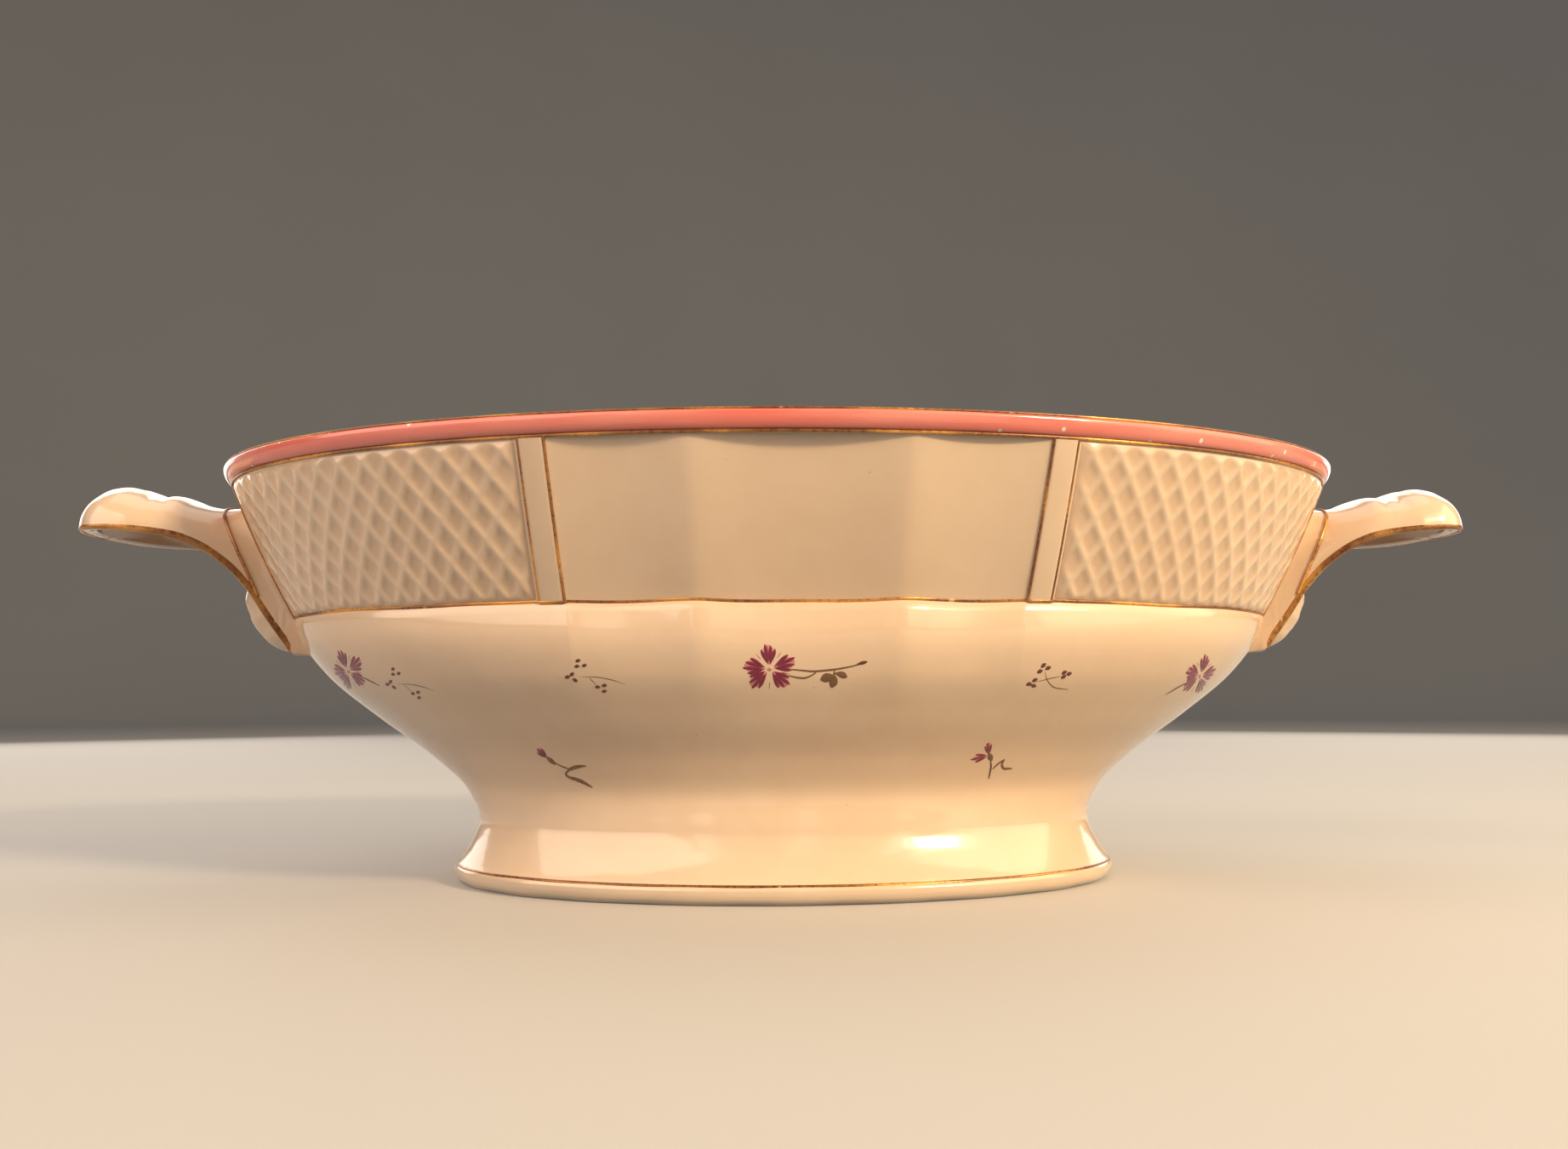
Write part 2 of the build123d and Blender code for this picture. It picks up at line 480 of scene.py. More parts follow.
@dataclass(frozen=True)
class IvoryGlaze(Finish):
    """Warm ivory glaze: cloudy, faintly orange-peeled, with a few pin specks."""

    name: str = "ivory_glaze"
    light: Colour = (0.83, 0.600, 0.405)
    deep: Colour = (0.68, 0.435, 0.265)
    speck: Colour = (0.33, 0.20, 0.11)
    relief: bool = False
    bare_foot: bool = False

    def coat(self, paint: Paint) -> None:
        """Colour drifts slowly; where the lattice is low the colour is deeper, partly thick glaze
        and partly painted shade.

        Args:
            paint: the material being built.
        """
        drift = paint.noise(0.045, 3.0).fade(0.38, 0.66)
        fine = paint.noise(0.006, 3.0).fade(0.35, 0.70)
        colour = paint.blend(drift * 0.22 + fine * 0.10, self.light, self.deep)
        rough = 0.16 + 0.07 * fine
        if self.relief:
            height = paint.value("relief")
            # darker where the lattice is low, between its bars and on its plain margins: partly
            # thick glaze pooling, partly painted shade
            pooled_glaze_and_shade = (1.0 - height.fade(0.05, 0.75)) * 0.62
            colour = paint.blend(pooled_glaze_and_shade, colour, self.deep)
            rough = rough + 0.05 * (1.0 - height)
        specks = paint.flecks(0.0085, 0.030) * (paint.noise(0.02, 1.0) > 0.54)
        colour = paint.blend(specks * 0.55, colour, self.speck)
        if self.bare_foot:
            bare = paint.value("bare").fade(0.3, 0.7)
            grain = paint.noise(0.0012, 4.0)
            clay = paint.blend(grain, (0.72, 0.62, 0.50), (0.52, 0.40, 0.28))
            colour = paint.blend(bare, colour, clay)
            rough = rough + bare * 0.45
            paint.set(Coat_Weight=(1.0 - bare) * 0.6)
        else:
            paint.set(Coat_Weight=0.6)
        paint.set(Base_Color=colour, Roughness=rough, Coat_Roughness=0.06, Coat_IOR=1.5, IOR=1.5)
        peel = paint.noise(0.0042, 2.0) * 0.6 + paint.noise(0.0016, 1.0) * 0.25
        paint.bump(peel, 0.00012, 0.55)


@dataclass(frozen=True)
class CoralEnamel(Finish):
    """Coral enamel brushed over the rolled rim, chipped to white here and there."""

    name: str = "coral_enamel"
    body: Colour = (0.90, 0.190, 0.135)
    thin: Colour = (0.94, 0.335, 0.25)
    chip: Colour = (0.93, 0.86, 0.76)

    def coat(self, paint: Paint) -> None:
        """Brush drag along the rim, thinner patches, and sparse pale chips.

        Args:
            paint: the material being built.
        """
        drag = paint.noise(0.012, 4.0, (0.35, 0.35, 3.0)).fade(0.36, 0.68)
        patch = paint.noise(0.03, 2.0).fade(0.4, 0.7)
        colour = paint.blend(drag * 0.45 + patch * 0.25, self.body, self.thin)
        near = paint.noise(0.016, 1.0).fade(0.50, 0.60)
        chips = paint.flecks(0.0036, 0.17) * near
        dots = paint.flecks(0.0075, 0.075)
        worn = (chips + dots * 0.8).fade(0.1, 0.6)
        colour = paint.blend(worn * 0.9, colour, self.chip)
        paint.set(Base_Color=colour, Roughness=0.17 + 0.15 * drag)
        paint.set(Coat_Weight=0.7, Coat_Roughness=0.08)
        paint.bump(drag * 0.5 + (1.0 - worn) * 0.6, 0.00010, 0.6)


@dataclass(frozen=True)
class Gilding(Finish):
    """Fired gold: bright where rubbed, brown where thin, lost in tiny breaks."""

    name: str = "fired_gold"
    bright: Colour = (0.80, 0.40, 0.10)
    brown: Colour = (0.21, 0.075, 0.026)
    under: Colour = (0.62, 0.40, 0.22)

    def coat(self, paint: Paint) -> None:
        """Thin brown gold over the glaze, brighter in long patches.

        Args:
            paint: the material being built.
        """
        rubbed = paint.noise(0.022, 2.0).fade(0.43, 0.68)
        grain = paint.noise(0.0011, 3.0).fade(0.35, 0.7)
        breaks = paint.noise(0.0022, 4.0).fade(0.66, 0.72)
        colour = paint.blend(rubbed * 0.75 + grain * 0.15, self.brown, self.bright)
        colour = paint.blend(breaks, colour, self.under)
        paint.set(Base_Color=colour, Metallic=0.50 + 0.35 * rubbed - 0.4 * breaks)
        paint.set(Roughness=0.26 + 0.22 * grain, Coat_Weight=0.15)
        paint.bump(grain, 0.00003, 0.5)


class Hue(Enum):
    """Enamel colours of the painted sprigs: name, full and thin colour."""

    PETAL = ("petal_crimson", (0.170, 0.001, 0.030), (0.42, 0.015, 0.100))
    LEAF = ("leaf_olive", (0.17, 0.075, 0.026), (0.070, 0.020, 0.008))
    BERRY = ("berry_brown", (0.085, 0.018, 0.009), (0.33, 0.09, 0.045))
    WASH = ("petal_wash", (0.58, 0.20, 0.19), (0.72, 0.40, 0.30))


@dataclass(frozen=True)
class SprigEnamel(Finish):
    """Hand-painted enamel, full in the middle of a stroke and thin at its edge."""

    hue: Hue = Hue.PETAL

    @property
    def name(self) -> str:
        """The material's name."""
        return self.hue.value[0]

    def coat(self, paint: Paint) -> None:
        """Pigment follows the stroke and the brush's streaks.

        Args:
            paint: the material being built.
        """
        edge = paint.value("edge")
        streak = paint.noise(0.0009, 2.0)
        amount = (edge * 0.9 + (streak - 0.5) * 0.9).fade(0.15, 0.95)
        colour = paint.blend(amount, self.hue.value[1], self.hue.value[2])
        paint.set(Base_Color=colour, Roughness=0.22 + 0.12 * streak)
        paint.set(Coat_Weight=0.5, Coat_Roughness=0.1)
        paint.bump(streak, 0.00003, 0.4)


# ---------------------------------------------------------------- the bowl's form


class Wall:
    """An oval wall whose half length and half width change with height."""

    def __init__(self, heights: list[float], halves: list[float], insets: list[float]) -> None:
        """Keeps the wall's profile.

        Args:
            heights: station heights.
            halves: half length at each station.
            insets: how much shorter the half width is.
        """
        self.half = Curve(heights, halves)
        self.inset = Curve(heights, insets)

    def axes(self, z: np.ndarray) -> tuple[np.ndarray, np.ndarray]:
        """Half length and half width at a height."""
        a = self.half(z)
        return a, a - self.inset(z)

    def point(self, turn: np.ndarray, z: np.ndarray, lift: np.ndarray | float = 0.0) -> np.ndarray:
        """Points of the wall, raised along its outward direction.

        A point is (a sin turn, -b cos turn, z); the outward direction is the
        cross product of the two ways along the surface.

        Args:
            turn: angle from the middle of the front.
            z: height.
            lift: distance above the surface.

        Returns:
            Points along the last axis.
        """
        turn, z, lift = np.broadcast_arrays(turn, z, lift)
        a, b = self.axes(z)
        base = np.stack([a * np.sin(turn), -b * np.cos(turn), z], axis=-1)
        return base + self.normal(turn, z) * lift[..., None]

    def normal(self, turn: np.ndarray, z: np.ndarray) -> np.ndarray:
        """The outward direction at points of the wall.

        It is the cross product of the ways round and up, the way up being a
        central difference of the half length and half width.

        Args:
            turn: angle from the middle of the front.
            z: height.

        Returns:
            Directions of length one along the last axis.
        """
        turn, z = np.broadcast_arrays(turn, z)
        a, b = self.axes(z)
        step = 0.2
        a1, b1 = self.axes(z + step)
        a0, b0 = self.axes(z - step)
        da, db = (a1 - a0) / (2 * step), (b1 - b0) / (2 * step)
        s, c = np.sin(turn), np.cos(turn)
        return unit(np.stack([b * s, -a * c, -(a * db * c * c + b * da * s * s)], axis=-1))


@dataclass
class BowlForm:
    """Sizes that every piece of the bowl shares."""

    rim_height: float = 101.3
    waist_height: float = 64.0
    neck_height: float = 15.0
    frieze_top: float = 96.25
    band_foot: float = 96.85
    band_top: float = 100.45
    wall: float = 4.0
    ridge: tuple[float, float] = (21.4, 22.7)
    rib: tuple[float, float] = (48.3, 51.2)
    rib_width: float = 5.8
    rib_proud: float = 0.45
    end_line: tuple[float, float] = (14.5, 20.0)
    middle_flute: float = 1.25
    side_flute: float = 0.95
    lower: Wall = field(init=False)
    upper: Wall = field(init=False)
    inner: Wall = field(init=False)
    foot: Wall = field(init=False)

    def __post_init__(self) -> None:
        """Builds the profiles."""
        rises = np.array([0.0, 0.15, 0.31, 0.51, 0.71, 0.88, 1.0])
        swells = np.array([0.0, 0.07, 0.247, 0.538, 0.80, 0.945, 1.0])
        z = mix(self.neck_height, self.waist_height, rises)
        self.lower = Wall(
            np.concatenate([[11.8], z]),
            np.concatenate([[77.4], mix(76.6, 122.9, swells)]),
            np.concatenate([[26.0], mix(26.0, 51.0, rises)]),
        )
        share = np.linspace(0.0, 1.0, 7)
        z = mix(self.waist_height, self.rim_height, share)
        half = mix(122.2, 139.4, share) + 3.6 * share * (1.0 - share)
        self.upper = Wall(z, half, mix(51.0, 50.4, share))
        self.inner = Wall(
            [20.0, 20.35, 21.6, 25.5, 31.9, 41.7, 51.5, 64.0, 75.2, 88.2, 101.3],
            [56.0, 61.5, 67.0, 74.5, 83.2, 96.7, 108.8, 118.2, 124.0, 130.4, 135.4],
            [26.0, 26.0, 26.0, 28.6, 32.9, 38.2, 43.4, 51.0, 50.8, 50.6, 50.4],
        )
        self.foot = Wall(
            [0.0, 0.5, 1.32, 2.5, 3.3, 3.9, 4.6, 5.6, 8.1, 11.8, 15.0, 22.35],
            [80.6, 81.35, 82.0, 82.35, 82.4, 82.1, 81.5, 80.7, 79.1, 77.4, 76.6, 79.84],
            [26.0] * 12,
        )

    def lean(self, z: np.ndarray, pair: tuple[float, float]) -> np.ndarray:
        """A place that moves with height: at the waist and at the rim."""
        share = (z - self.waist_height) / (96.8 - self.waist_height)
        return mix(pair[0], pair[1], np.clip(share, -0.35, 1.15))

    def flute_fade(self, z: np.ndarray) -> np.ndarray:
        """Share of the flutes' depth that is left on the lower body."""
        return smooth(34.0, self.waist_height, z) * 0.85

    def marks(self, wall: Wall, z: np.ndarray) -> np.ndarray:
        """Turns of the ridge, rib edges and panel end at each height.

        Args:
            wall: the wall they lie on.
            z: heights.

        Returns:
            Six turns for each height, from the front's middle to the end.
        """
        a, b = wall.axes(z)
        ridge = np.arcsin(self.lean(z, self.ridge) / a)
        inner = np.arcsin(self.lean(z, self.rib) / a)
        rib_out = (self.rib[0] + self.rib_width, self.rib[1] + self.rib_width)
        outer = np.arcsin(self.lean(z, rib_out) / a)
        end = np.arccos(self.lean(z, self.end_line) / b)
        zero = np.zeros_like(ridge)
        return np.stack([zero, ridge, inner, outer, end, zero + math.pi / 2], axis=-1)

    def sink(self, wall: Wall, x: np.ndarray, z: np.ndarray) -> np.ndarray:
        """How far the flutes hollow the front and back towards the middle.

        Between two ridges the oval is cut to the straight line from ridge to
        ridge and then hollowed as one minus the square of the place across.

        Args:
            wall: the wall that is hollowed.
            x: place along the bowl.
            z: height.

        Returns:
            The inward distance, never negative.
        """
        a, b = wall.axes(z)
        x = np.abs(x)
        ridge = self.lean(z, self.ridge)
        rib = self.lean(z, self.rib)

        def oval(at: np.ndarray) -> np.ndarray:
            """Half width of the oval at a place along it."""
            return b * np.sqrt(np.clip(1.0 - (at / a) ** 2, 0.0, 1.0))

        s = x / ridge
        middle = oval(x) - oval(ridge) + self.middle_flute * (1.0 - s * s)
        t = (x - ridge) / (rib - ridge)
        chord = mix(oval(ridge), oval(rib), t)
        side = oval(x) - chord + self.side_flute * 4.0 * t * (1.0 - t)
        depth = np.where(x < ridge, middle, np.where(x < rib, side, 0.0))
        return np.clip(depth, 0.0, None) + 0.22 * hump(x - ridge, 1.5)

    def wave(self, x: np.ndarray, z: np.ndarray, front: np.ndarray) -> np.ndarray:
        """Rise of the waist ledge: higher at ridges and ribs, lower in flutes.

        Args:
            x: place along the bowl.
            z: height.
            front: zero at the ends, one along the long sides.

        Returns:
            A small upward shift.
        """
        q = np.abs(x) / self.lean(z, self.ridge)
        crest = hump(q - 1.0, 0.34) + hump((np.abs(x) - 51.0) / 8.0, 1.0)
        dips = hump(q, 0.5) * 0.6 + hump((np.abs(x) - 36.0) / 6.0, 1.0) * 0.5
        slow = 0.12 * np.cos(np.abs(x) / 5.3)
        near = hump(z - self.waist_height, 5.0)
        return (0.38 * crest - 0.25 * dips + slow) * near * front

    def outside(
        self, wall: Wall, turn: np.ndarray, z: np.ndarray,
        lift: np.ndarray | float = 0.0, flute: np.ndarray | float = 1.0,
    ) -> np.ndarray:
        """Points of the moulded outside, with flutes and the waving ledge.

        Args:
            wall: lower or upper wall.
            turn: angle from the front's middle.
            z: height.
            lift: distance above the surface.
            flute: share of the flutes' depth.

        Returns:
            Points along the last axis.
        """
        turn, z, lift, flute = np.broadcast_arrays(turn, z, lift, flute)
        p = wall.point(turn, z, lift)
        side = np.sign(np.cos(turn))
        depth = self.sink(wall, p[..., 0], z) * flute
        shift = self.wave(p[..., 0], z, smooth(0.1, 0.45, np.abs(np.cos(turn))))
        out = p.copy()
        out[..., 1] += side * depth
        out[..., 2] += shift
        return out


# ---------------------------------------------------------------- cast body


@dataclass
class CastBowl:
    """The bowl's own casting: lower body, fluted wall, lip, inside and floor."""

    form: BowlForm
    finish: Finish
    columns: tuple[int, ...] = (16, 20, 14, 44, 14)
    lip_drop: float = 1.15

    def turns(self, wall: Wall, z: np.ndarray) -> np.ndarray:
        """Columns all the way round, closer where the moulding is sharp.

        Args:
            wall: the wall that carries the columns.
            z: one height for each row.

        Returns:
            Turns, rows by columns.
        """
        marks = self.form.marks(wall, z)
        parts = []
        for k, count in enumerate(self.columns):
            t = np.arange(count) / count
            if k == 2:
                t = 0.5 - 0.5 * np.cos(math.pi * t)
            parts.append(mix(marks[:, k, None], marks[:, k + 1, None], t[None]))
        quarter = np.concatenate(parts + [marks[:, -1:]], axis=1)
        half = np.concatenate([quarter, math.pi - quarter[:, -2::-1]], axis=1)
        return np.concatenate([half, half[:, 1:-1] + math.pi], axis=1)

    def rib_lift(self, turn: np.ndarray, z: np.ndarray) -> np.ndarray:
        """Height of the raised strips, softly rounded at their edges.

        Args:
            turn: angle from the middle of the front.
            z: height.

        Returns:
            Lift above the wall, zero away from the strips.
        """
        form = self.form
        a, _ = form.upper.axes(z)
        x = np.abs(a * np.sin(turn))
        inner = x - form.lean(z, form.rib)
        across = smooth(-0.05, 0.55, inner) * smooth(-0.05, 0.55, form.rib_width - inner)
        crown = 0.10 * np.sin(np.clip(inner / form.rib_width, 0.0, 1.0) * math.pi)
        return across * (form.rib_proud + crown)

    def build(self) -> bpy.types.Object:
        """Makes the casting as one closed surface.

        Returns:
            The finished piece.
        """
        form = self.form
        rows: list[np.ndarray] = []
        z = mix(form.neck_height, form.waist_height, np.linspace(0.0, 1.0, 46) ** 0.92)
        turn = self.turns(form.lower, z)
        fade = form.flute_fade(z)[:, None]
        round_over = -0.55 * smooth(62.6, 64.0, z)[:, None] ** 2
        body = form.outside(form.lower, turn, z[:, None], round_over, fade)
        base = body[:1].copy()
        for share in (0.0, 0.4, 0.8):
            ring = base.copy()
            ring[..., :2] *= share
            rows.append(ring)
        rows.append(body)
        z = mix(form.waist_height + 0.02, form.frieze_top, np.linspace(0.0, 1.0, 30))
        turn = self.turns(form.upper, z)
        lift = self.rib_lift(turn, z[:, None])
        rows.append(form.outside(form.upper, turn, z[:, None], lift))
        z = np.array([form.frieze_top + 0.02, 98.0, 99.4, form.rim_height - self.lip_drop])
        turn = self.turns(form.upper, z)
        rows.append(form.upper.point(turn, z[:, None]))
        bend = np.linspace(0.0, math.pi, 11)[1:-1]
        top = np.full(len(bend), form.rim_height - self.lip_drop)
        turn = self.turns(form.upper, top)
        out_a, out_b = form.upper.axes(top[:1])
        in_a, in_b = form.inner.axes(top[:1])
        share = 0.5 - 0.5 * np.cos(bend)
        a, b = mix(out_a, in_a, share)[:, None], mix(out_b, in_b, share)[:, None]
        high = (top + self.lip_drop * np.sin(bend))[:, None] + 0 * turn
        rows.append(np.stack([a * np.sin(turn), -b * np.cos(turn), high], axis=-1))
        z = mix(form.rim_height - self.lip_drop, 20.0, np.linspace(0.0, 1.0, 42))
        turn = self.turns(form.inner, np.maximum(z, 30.0))
        rows.append(form.inner.point(turn, z[:, None]))
        floor = rows[-1][-1:]
        for share in (0.9, 0.75, 0.5, 0.25, 0.0):
            ring = floor.copy()
            ring[..., :2] *= share
            rows.append(ring)
        shell = Shell()
        shell.add(np.concatenate(rows), wrap_cols=True)
        return shell.piece("bowl_casting", self.finish, "glaze", ("bowl_body",), 34.0)


@dataclass
class LatticePanels:
    """Four panels of raised lattice between the ribs and the handles."""

    form: BowlForm
    finish: Finish
    across: int = 170
    up: int = 66
    cells: float = 14.6
    diamond: float = 9.6
    height: float = 0.62

    def grid(self) -> tuple[np.ndarray, np.ndarray, np.ndarray, np.ndarray]:
        """Turn, height and lattice coordinates of one front right panel.

        Returns:
            Turn, height, millimetres from the rib, and share across.
        """
        form = self.form
        z = mix(form.waist_height + 0.25, form.frieze_top - 0.05, np.linspace(0.0, 1.0, self.up))
        marks = form.marks(form.upper, z)
        a, b = form.upper.axes(np.array([80.0]))
        mid = form.marks(form.upper, np.array([80.0]))[0]
        fine = np.linspace(mid[3], mid[4], 400)
        steps = np.hypot(a * np.cos(fine), b * np.sin(fine))
        length = np.concatenate([[0.0], np.cumsum((steps[1:] + steps[:-1]) / 2 * np.diff(fine))])
        even = np.interp(np.linspace(0.0, length[-1], self.across), length, fine)
        share = (even - mid[3]) / (mid[4] - mid[3])
        turn = mix(marks[:, 3, None], marks[:, 4, None], share[None])
        along = np.linspace(0.0, 1.0, self.across)[None] + 0 * turn
        return turn, z[:, None] + 0 * turn, along * length[-1], along

    def relief(self, along: np.ndarray, z: np.ndarray) -> np.ndarray:
        """Lattice height from 0 to 1: two families of slanting soft bars.

        A bar lies where the sum, or the difference, of the places across and
        up, counted in cells, is whole; where two bars cross they swell.

        Args:
            along: share across the panel.
            z: height.

        Returns:
            Relief at each point.
        """
        lean = 1.12
        u = along * self.cells
        w = (z - self.form.waist_height) * lean / self.diamond
        first = np.abs((u + w) - np.round(u + w))
        second = np.abs((u - w) - np.round(u - w))
        bar1, bar2 = hump(first, 0.185), hump(second, 0.185)
        wobble = 0.90 + 0.10 * np.sin(u * 2.1 + 1.3 * w) * np.cos(w * 2.7 - u)
        return np.clip((bar1 + bar2 - 0.72 * bar1 * bar2) * wobble, 0.0, 1.25) / 1.25

    def build(self) -> bpy.types.Object:
        """Makes all four panels as closed pads set into the wall.

        Returns:
            The finished piece.
        """
        form = self.form
        turn, z, length, along = self.grid()
        width = length.max()
        relief = self.relief(along, z)
        rows = np.abs(np.linspace(-1.0, 1.0, self.up))[:, None] * 16.2
        side = np.minimum(length, width - length)
        plain = smooth(0.6, 3.0, length) * smooth(4.0, 6.5, width - length)
        plain = plain * (1.0 - smooth(14.6, 15.9, rows))
        edge = smooth(0.0, 0.8, side) * (1.0 - smooth(15.6, 16.2, rows))
        border = 0.16 * (1.0 - smooth(3.0, 4.6, width - length)) * edge
        level = 0.07 + self.height * relief * plain + border
        lift = np.where(edge > 0.0, mix(-0.25, level, edge), -0.25)
        shell = Shell()
        for mirror, spin in ((1, 0.0), (-1, 0.0), (-1, math.pi), (1, math.pi)):
            swing = mirror * turn + spin
            front = form.outside(form.upper, swing, z, lift)
            inside = np.minimum(lift, -0.25) - 0.35 * (edge > 0.0)
            back = form.outside(form.upper, swing, z, inside)
            shell.add_slab(front, back, relief=relief * plain)
        return shell.piece("lattice_panels", self.finish, "glaze", (), SHARP_ANGLE)


@dataclass
class CoralBand:
    """The rolled, enamelled moulding round the rim."""

    form: BowlForm
    finish: Finish
    bulge: float = 1.15
    columns: int = 520

    def build(self) -> bpy.types.Object:
        """Makes the band: a half-round section carried round the oval.

        Returns:
            The finished piece.
        """
        form = self.form
        turn = np.arange(self.columns) / self.columns * 2.0 * math.pi
        bend = np.linspace(-math.pi / 2, math.pi / 2, 15)
        middle = (form.band_foot + form.band_top) / 2.0
        tall = (form.band_top - form.band_foot) / 2.0
        z = middle + tall * np.sin(bend)
        out = 0.12 + (self.bulge - 0.12) * np.cos(bend) ** 0.8
        z = np.concatenate([z, [z[-1], z[0]]])
        out = np.concatenate([out, [-0.5, -0.5]])
        a, b = form.upper.axes(z)
        sway = 0.05 * np.sin(turn * 7.0 + 0.6) + 0.04 * np.sin(turn * 13.0)
        reach = out[:, None] + sway[None] * (out > 0.3)[:, None]
        a, b = a[:, None] + reach - 0.05, b[:, None] + reach - 0.05
        grid = np.stack([a * np.sin(turn), -b * np.cos(turn), z[:, None] + 0 * a], axis=-1)
        shell = Shell()
        shell.add(grid, wrap_rows=True, wrap_cols=True)
        return shell.piece("coral_rim_band", self.finish, "coral_enamel", ("rim_band",), 50.0)


@dataclass
class RolledFoot:
    """The neck and flaring foot, gently lobed, hollow and bare beneath."""

    form: BowlForm
    finish: Finish
    columns: int = 360
    lobes: int = 22

    def build(self) -> bpy.types.Object:
        """Makes the foot as one closed ring.

        Returns:
            The finished piece.
        """
        form = self.form
        turn = np.arange(self.columns) / self.columns * 2.0 * math.pi
        z = np.concatenate([np.linspace(15.0, 5.6, 18), np.linspace(5.3, 0.35, 22), [0.12, 0.0]])
        lobe = 0.16 * (np.cos(turn * self.lobes) - 1.0) * 0.5
        low = (1.0 - smooth(2.5, 9.0, z))[:, None]
        outer = form.foot.point(turn[None], z[:, None], lobe * low)
        z_in = np.array([0.0, 0.2, 1.0, 4.0, 7.5, 11.0, 15.0])
        a_in = np.array([76.6, 75.9, 75.2, 73.6, 71.8, 70.2, 68.4])
        a, b = a_in[:, None], a_in[:, None] - 26.0
        high = z_in[:, None] + 0 * turn[None]
        inner = np.stack([a * np.sin(turn), -b * np.cos(turn), high], axis=-1)
        bare = np.concatenate([np.zeros(len(z) - 2), [0.6, 1.0, 1.0, 0.8], np.zeros(len(z_in) - 2)])
        shell = Shell()
        shell.add(np.concatenate([outer, inner]), True, True, bare=bare[:, None])
        return shell.piece("rolled_foot", self.finish, "foot_glaze", ("pedestal_foot",), 50.0)


# ---------------------------------------------------------------- handles


@dataclass
class LugHandle:
    """An arched shell lug, its collar and the scroll leaf in its root.

    Every length is for the handle at +X; side turns it to the other end.
    """

    form: BowlForm
    finish: Finish
    gold: Finish
    side: int
    name: str
    tip: float = 174.0
    root: float = 112.5
    wall: float = 3.0
    rows: int = 120
    cols: int = 48

    def __post_init__(self) -> None:
        """Keeps the profile curves along the handle."""
        self.crest = Curve(
            [112.0, 136.0, 141.5, 146.0, 150.0, 153.4, 155.6]
            + [158.5, 162.5, 166.0, 169.3, 171.8, 173.3, 174.0],
            [90.6, 91.7, 92.4, 93.5, 94.9, 95.4, 95.3]
            + [96.5, 97.5, 97.1, 95.5, 92.9, 90.2, 87.0],
        )
        self.lip = Curve(
            [112.0, 119.5, 121.3, 122.4, 127.9, 131.0, 136.0]
            + [142.0, 147.5, 155.0, 161.0, 167.0, 174.0],
            [55.4, 55.7, 56.5, 58.0, 66.2, 71.2, 77.0]
            + [81.4, 83.7, 85.1, 85.6, 85.8, 86.0],
        )
        self.half = Curve(
            [112.0, 122.2, 128.0, 134.2, 141.0, 147.2, 153.4]
            + [158.6, 163.0, 167.5, 170.8, 172.9, 173.7, 174.0],
            [15.0, 15.0, 15.8, 17.5, 19.6, 21.2, 21.9]
            + [22.9, 22.9, 21.2, 17.6, 12.2, 7.0, 2.0],
        )

    def section(self, x: np.ndarray, arc: np.ndarray, shrink: float = 0.0) -> np.ndarray:
        """One arched line for each x, from the near lip over to the far lip.

        The arch is a superellipse on the half width and the rise; a crease
        crosses it behind the outer lobe and faint shell folds run along it.

        Args:
            x: places along the handle, as a column.
            arc: angle over the arch, 0 to pi.
            shrink: how far inside the outer skin the line lies.

        Returns:
            Points, rows by columns.
        """
        half = np.maximum(self.half(x) - shrink, 0.2)
        lip = self.lip(x)
        rise = np.maximum(self.crest(x) - lip - shrink, 0.12)
        c, s = np.cos(arc), np.sin(arc)
        y = -half * np.sign(c) * np.abs(c) ** 0.80
        z = lip + rise * np.abs(s) ** 0.86
        if shrink == 0.0:
            crease = 0.50 * hump(x - 155.2 + 0.011 * y * y, 1.2) * s**0.5 * smooth(150.0, 153.0, x)
            swell = 0.30 * hump(x - 151.2 + 0.008 * y * y, 2.2) * s
            folds = 0.26 * np.cos(y * 0.62) * smooth(157.0, 166.0, x) * s
            z = z + (folds + swell - crease) * np.clip(rise / 6.0, 0.0, 1.0)
        back = shrink * smooth(self.root, self.tip, x) * 0.95
        return np.stack([x - back + 0 * y, y, z], axis=-1)

    def wall_at(self, y: np.ndarray, z: np.ndarray) -> np.ndarray:
        """Where the bowl's outside end lies: the oval solved for x.

        Args:
            y: place across the bowl.
            z: height.

        Returns:
            The place along the bowl.
        """
        form = self.form
        a_low, b_low = form.lower.axes(np.clip(z, form.neck_height, form.waist_height))
        a_up, b_up = form.upper.axes(np.maximum(z, form.waist_height))
        a = np.where(z > form.waist_height, a_up, a_low)
        b = np.where(z > form.waist_height, b_up, b_low)
        return a * np.sqrt(np.clip(1.0 - (y / b) ** 2, 0.0, 1.0))

    def flare(self, p: np.ndarray) -> np.ndarray:
        """Spreads the sides to meet the wall just inside the panel's gold line.

        Args:
            p: points of the handle's skin.

        Returns:
            The points, moved sideways near the wall and kept within it.
        """
        z = p[..., 2]
        near = 1.0 - np.clip((p[..., 0] - self.wall_at(p[..., 1], z)) / 9.0, 0.0, 1.0)
        reach = self.form.lean(z, self.form.end_line) - 1.0 - self.half(p[..., 0])
        out = p.copy()
        side = np.clip(np.abs(p[..., 1]) / self.half(p[..., 0]), 0.0, 1.0) ** 3
        out[..., 1] += np.sign(p[..., 1]) * reach * near**2.0 * side
        tall = np.maximum(self.crest(p[..., 0]) - self.lip(p[..., 0]), 1.0)
        high = smooth(0.45, 1.0, (z - self.lip(p[..., 0])) / tall)
        out[..., 2] += 1.4 * near**2.2 * high
        return self.keep_out(out)

    def keep_out(self, p: np.ndarray) -> np.ndarray:
        """Keeps the root in the thickness of the bowl's wall.

        Args:
            p: points of the handle or its leaf.

        Returns:
            The points, none of them deeper than half the wall's thickness.
        """
        out = p.copy()
        deepest = self.wall_at(p[..., 1], p[..., 2]) - self.form.wall / 2.0
        out[..., 0] = np.maximum(p[..., 0], deepest)
        return out

    def place(self, p: np.ndarray) -> np.ndarray:
        """Turns points of the +X handle to this handle's end."""
        return p * np.array([self.side, self.side, 1.0])

